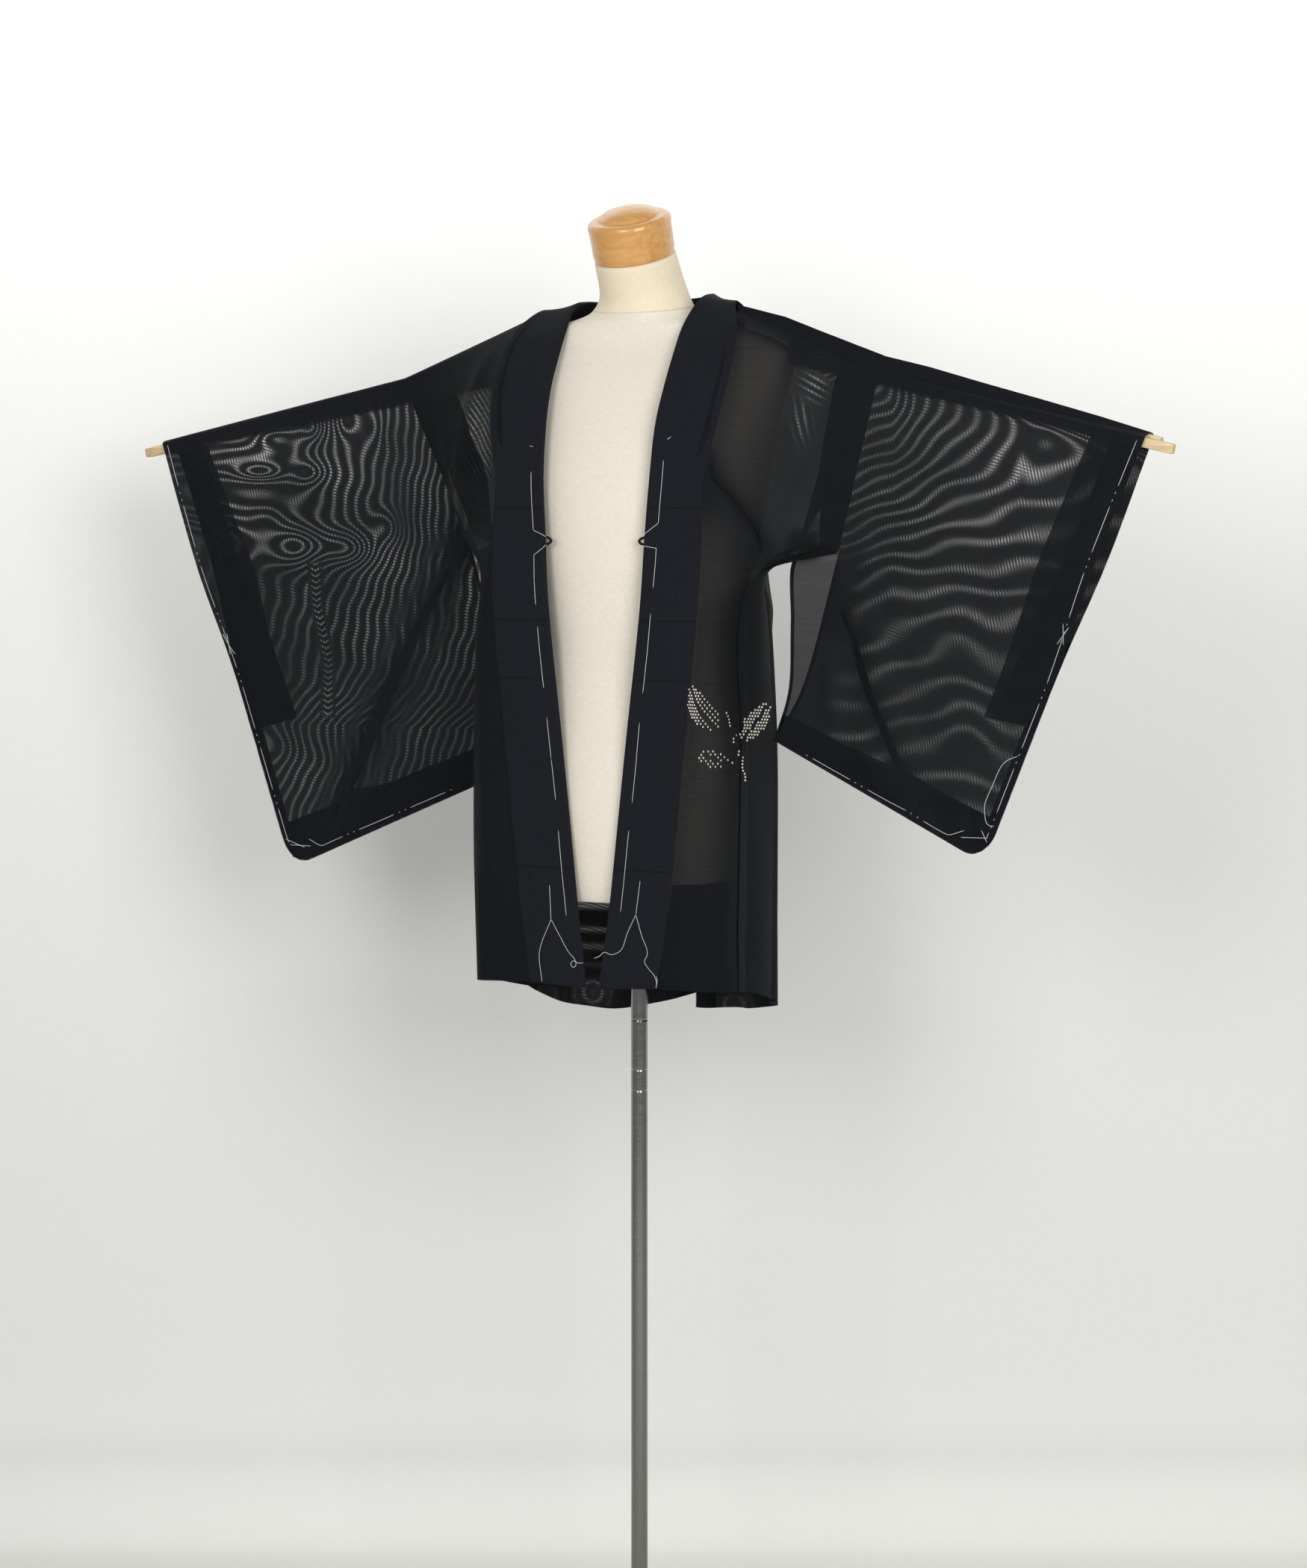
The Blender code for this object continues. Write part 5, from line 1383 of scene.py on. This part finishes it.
# profiles are radius and height, from the top down
capProfile = ((0.0, 0.0565), (0.012, 0.0555), (0.025, 0.052), (0.033, 0.0475), (0.0345, 0.0445),
              (0.042, 0.044), (0.0452, 0.0415), (0.0462, 0.0375), (0.0452, 0.0335), (0.0449, 0.008),
              (0.0438, 0.0015), (0.0425, 0.0), (0.0, 0.0))
lean = math.atan(formShape["neckTilt"])
neckLine = np.array((0, -math.sin(lean), math.cos(lean)))
capFoot = np.array(formShape["capFoot"]) + neckLine * formShape["capGap"]
capGrid = turnedGrid(softProfile(capProfile), 96, lean, capFoot)
fitted(meshOf("formCap", [(capGrid, None, False, True)], honeyWood), "form_cap")

poleShape = {"radius": 0.0092, "top": 0.8372, "foot": 0.0603, "marks": (0.70, 0.645, 0.622),
             "groove": 0.0005, "close": 0.0008}
radius, top, base, close = (poleShape[key] for key in ("radius", "top", "foot", "close"))
# a second point close to each corner keeps the straight runs evenly lit
poleProfile = [(0.0, top), (radius - close, top), (radius, top), (radius, top - close)]
for mark in poleShape["marks"]:
    # a shallow groove with its own close points, from above to below
    for rise, depth in ((0.0019, 0), (0.0011, 0), (0.0005, 1),
                        (-0.0005, 1), (-0.0011, 0), (-0.0019, 0)):
        poleProfile.append((radius - depth * poleShape["groove"], mark + rise))
poleProfile += [(radius, base + close), (radius, base), (radius - close, base), (0.0, base)]
baseProfile = ((0.0, 0.0597), (0.015, 0.060), (0.019, 0.056), (0.020, 0.036), (0.026, 0.026),
               (0.050, 0.0185), (0.110, 0.0135), (0.150, 0.0105), (0.159, 0.007), (0.160, 0.003),
               (0.158, 0.0), (0.0, 0.0))
for name, node, profile, sides in (("standPole", "stand_pole", poleProfile, 64),
                                   ("standFoot", "stand_base", softProfile(baseProfile), 128)):
    made = meshOf(name, [(turnedGrid(profile, sides), None, False, True)], chrome)
    fitted(made, node)

slats = (
    # name             side     mid y    inner top z  outer x  outer top z
    ("slatLeftFront", "slat_left_front", "left", -0.0053, 1.4282, 0.6255, 1.3294),
    ("slatLeftRear", "slat_left_rear", "left", 0.0053, 1.4490, 0.6075, 1.3365),
    ("slatRightFront", "slat_right_front", "right", -0.0053, 1.4268, 0.6370, 1.3310),
    ("slatRightRear", "slat_right_rear", "right", 0.0053, 1.4080, 0.6500, 1.3300),
)
slatShape = {"inner": 0.1875, "deep": 0.010, "tall": 0.0105, "round": 0.0013, "endRound": 0.0012,
             "firstStation": 0.0005, "endShrink": 0.12}


def buildSlat(name, node, side, middleY, innerZ, outerX, outerZ):
    # a rounded square section carried along a straight line, drawn in a little at its ends
    run = outerX - slatShape["inner"]
    slope = math.atan((innerZ - outerZ) / run)
    length = math.hypot(run, innerZ - outerZ)
    corner = even(0, math.pi / 2, 5)
    halfDeep, halfTall, soft = slatShape["deep"] / 2, slatShape["tall"] / 2, slatShape["round"]
    section = []
    for number, (sy, sz) in enumerate(((1, 1), (-1, 1), (-1, -1), (1, -1))):
        turn = corner + number * math.pi / 2
        section.append(np.stack([sy * (halfDeep - soft) + soft * np.cos(turn),
                                 sz * (halfTall - soft) + soft * np.sin(turn)], axis=-1))
    section = np.concatenate(section)
    close = slatShape["endRound"]
    first = slatShape["firstStation"]
    stations = np.concatenate([[0, first], even(close, length - close, 60), [length - first, length]])
    atEnd = 1 - ramp(np.minimum(stations, length - stations), 0, close)
    shrink = 1 - slatShape["endShrink"] * atEnd
    along = stations - length / 2
    y = middleY + section[:, 0] * shrink[:, None]
    high = section[:, 1] * shrink[:, None]
    along, middle = along[:, None], (innerZ + outerZ - slatShape["tall"]) / 2
    x = slatShape["inner"] + run / 2 + along * math.cos(slope) + high * math.sin(slope)
    z = middle - along * math.sin(slope) + high * math.cos(slope)
    grid = np.stack([x * signOf[side], y, z], axis=-1)
    turned = side == "right"
    ends = (0, 0, not turned), (0, -1, turned)
    made = meshOf(name, [(grid, None, not turned, True)], paleWood, ends)
    fitted(made, node)


for row in slats:
    buildSlat(*row)
print("form and stand ready")

# ---- stage, light and camera
# painted wall and floor, dull and even; greyer near the floor as painted shade, against the extra light
# the floor catches from above
stageLook, stageTree, stageShader = newMaterial("paleBackdrop", "#e6e6e4", 0.9)
height = objectAxes(stageTree), "Z"
# painted shade: darker towards the floor
nearFloorShade = ranged(stageTree, height, 0.16, 0.01, interpolation_type="SMOOTHSTEP")
joined(stageTree, stageShader, "Base Color", mixed(stageTree, nearFloorShade, "#e6e6e2", "#d2d2cd"))
azimuth = math.radians(28)
away = np.array((-math.sin(azimuth), math.cos(azimuth)))
aside = np.array((math.cos(azimuth), math.sin(azimuth)))
# floor towards the camera, a quarter round, then a wall close behind
stageShape = {"start": 0.44, "radius": 0.10, "near": -6.0, "half": 5.0, "high": 5.0}
start, radius = stageShape["start"], stageShape["radius"]
bend = even(0, math.pi / 2, 24)
reach = np.concatenate([even(stageShape["near"], start - 0.01, 8), start + radius * np.sin(bend),
                        np.full(6, start + radius)])
rise = np.concatenate([np.zeros(8), radius * (1 - np.cos(bend)), even(0.2, stageShape["high"], 6)])
sideways = even(-stageShape["half"], stageShape["half"], 6)
floor = np.empty((len(reach), len(sideways), 3))
floor[..., :2] = reach[:, None, None] * away + sideways[None, :, None] * aside
floor[..., 2] = rise[:, None] - 0.0005
backdrop = meshOf("backdrop", [(floor, None, True, False)], stageLook)

world = bpy.context.scene.world or bpy.data.worlds.new("world")
bpy.context.scene.world = world
world.use_nodes = True
sky = world.node_tree.nodes["Background"].inputs
sky["Color"].default_value, sky["Strength"].default_value = (0.9, 0.93, 0.97, 1.0), 0.378


def areaLight(name, place, target, wide, tall, watts, spread=180):
    # a flat rectangle of light that looks at its target; the spread is in degrees
    lamp = bpy.data.lights.new(name, "AREA")
    lamp.shape = "RECTANGLE"
    lamp.size, lamp.size_y, lamp.energy, lamp.spread = wide, tall, watts, math.radians(spread)
    made = bpy.data.objects.new(name, lamp)
    made.location = place
    made.rotation_euler = (Vector(target) - Vector(place)).to_track_quat("-Z", "Y").to_euler()
    bpy.context.scene.collection.objects.link(made)


# place, target, width, height, watts
areaLight("leftLight", (0.45, -3.56, 1.95), (0, 0, 1.0), 1.2, 1.2, 39.5)
areaLight("rightLight", (2.75, -2.35, 1.95), (0, 0, 1.0), 1.7, 1.5, 60.5)
areaLight("wallLight", (0.17, 0.31, 2.9), (0.01, 0.61, 2.0), 3.0, 0.25, 12.5, 50)

view = {"place": (2.35608, -4.39797, 1.28702), "aside": 0.01557, "height": 0.96,
        "lens": 104.57, "sensor": 36.0}
camera = bpy.data.cameras.new("camera")
camera.sensor_fit = "VERTICAL"
camera.sensor_height, camera.lens = view["sensor"], view["lens"]
cameraPiece = bpy.data.objects.new("camera", camera)
cameraPiece.location = view["place"]
target = Vector((*(view["aside"] * aside), view["height"]))
cameraPiece.rotation_euler = (target - cameraPiece.location).to_track_quat("-Z", "Y").to_euler()
bpy.context.scene.collection.objects.link(cameraPiece)
bpy.context.scene.camera = cameraPiece
bpy.context.scene.view_settings.view_transform = "Standard"
print("stage ready")
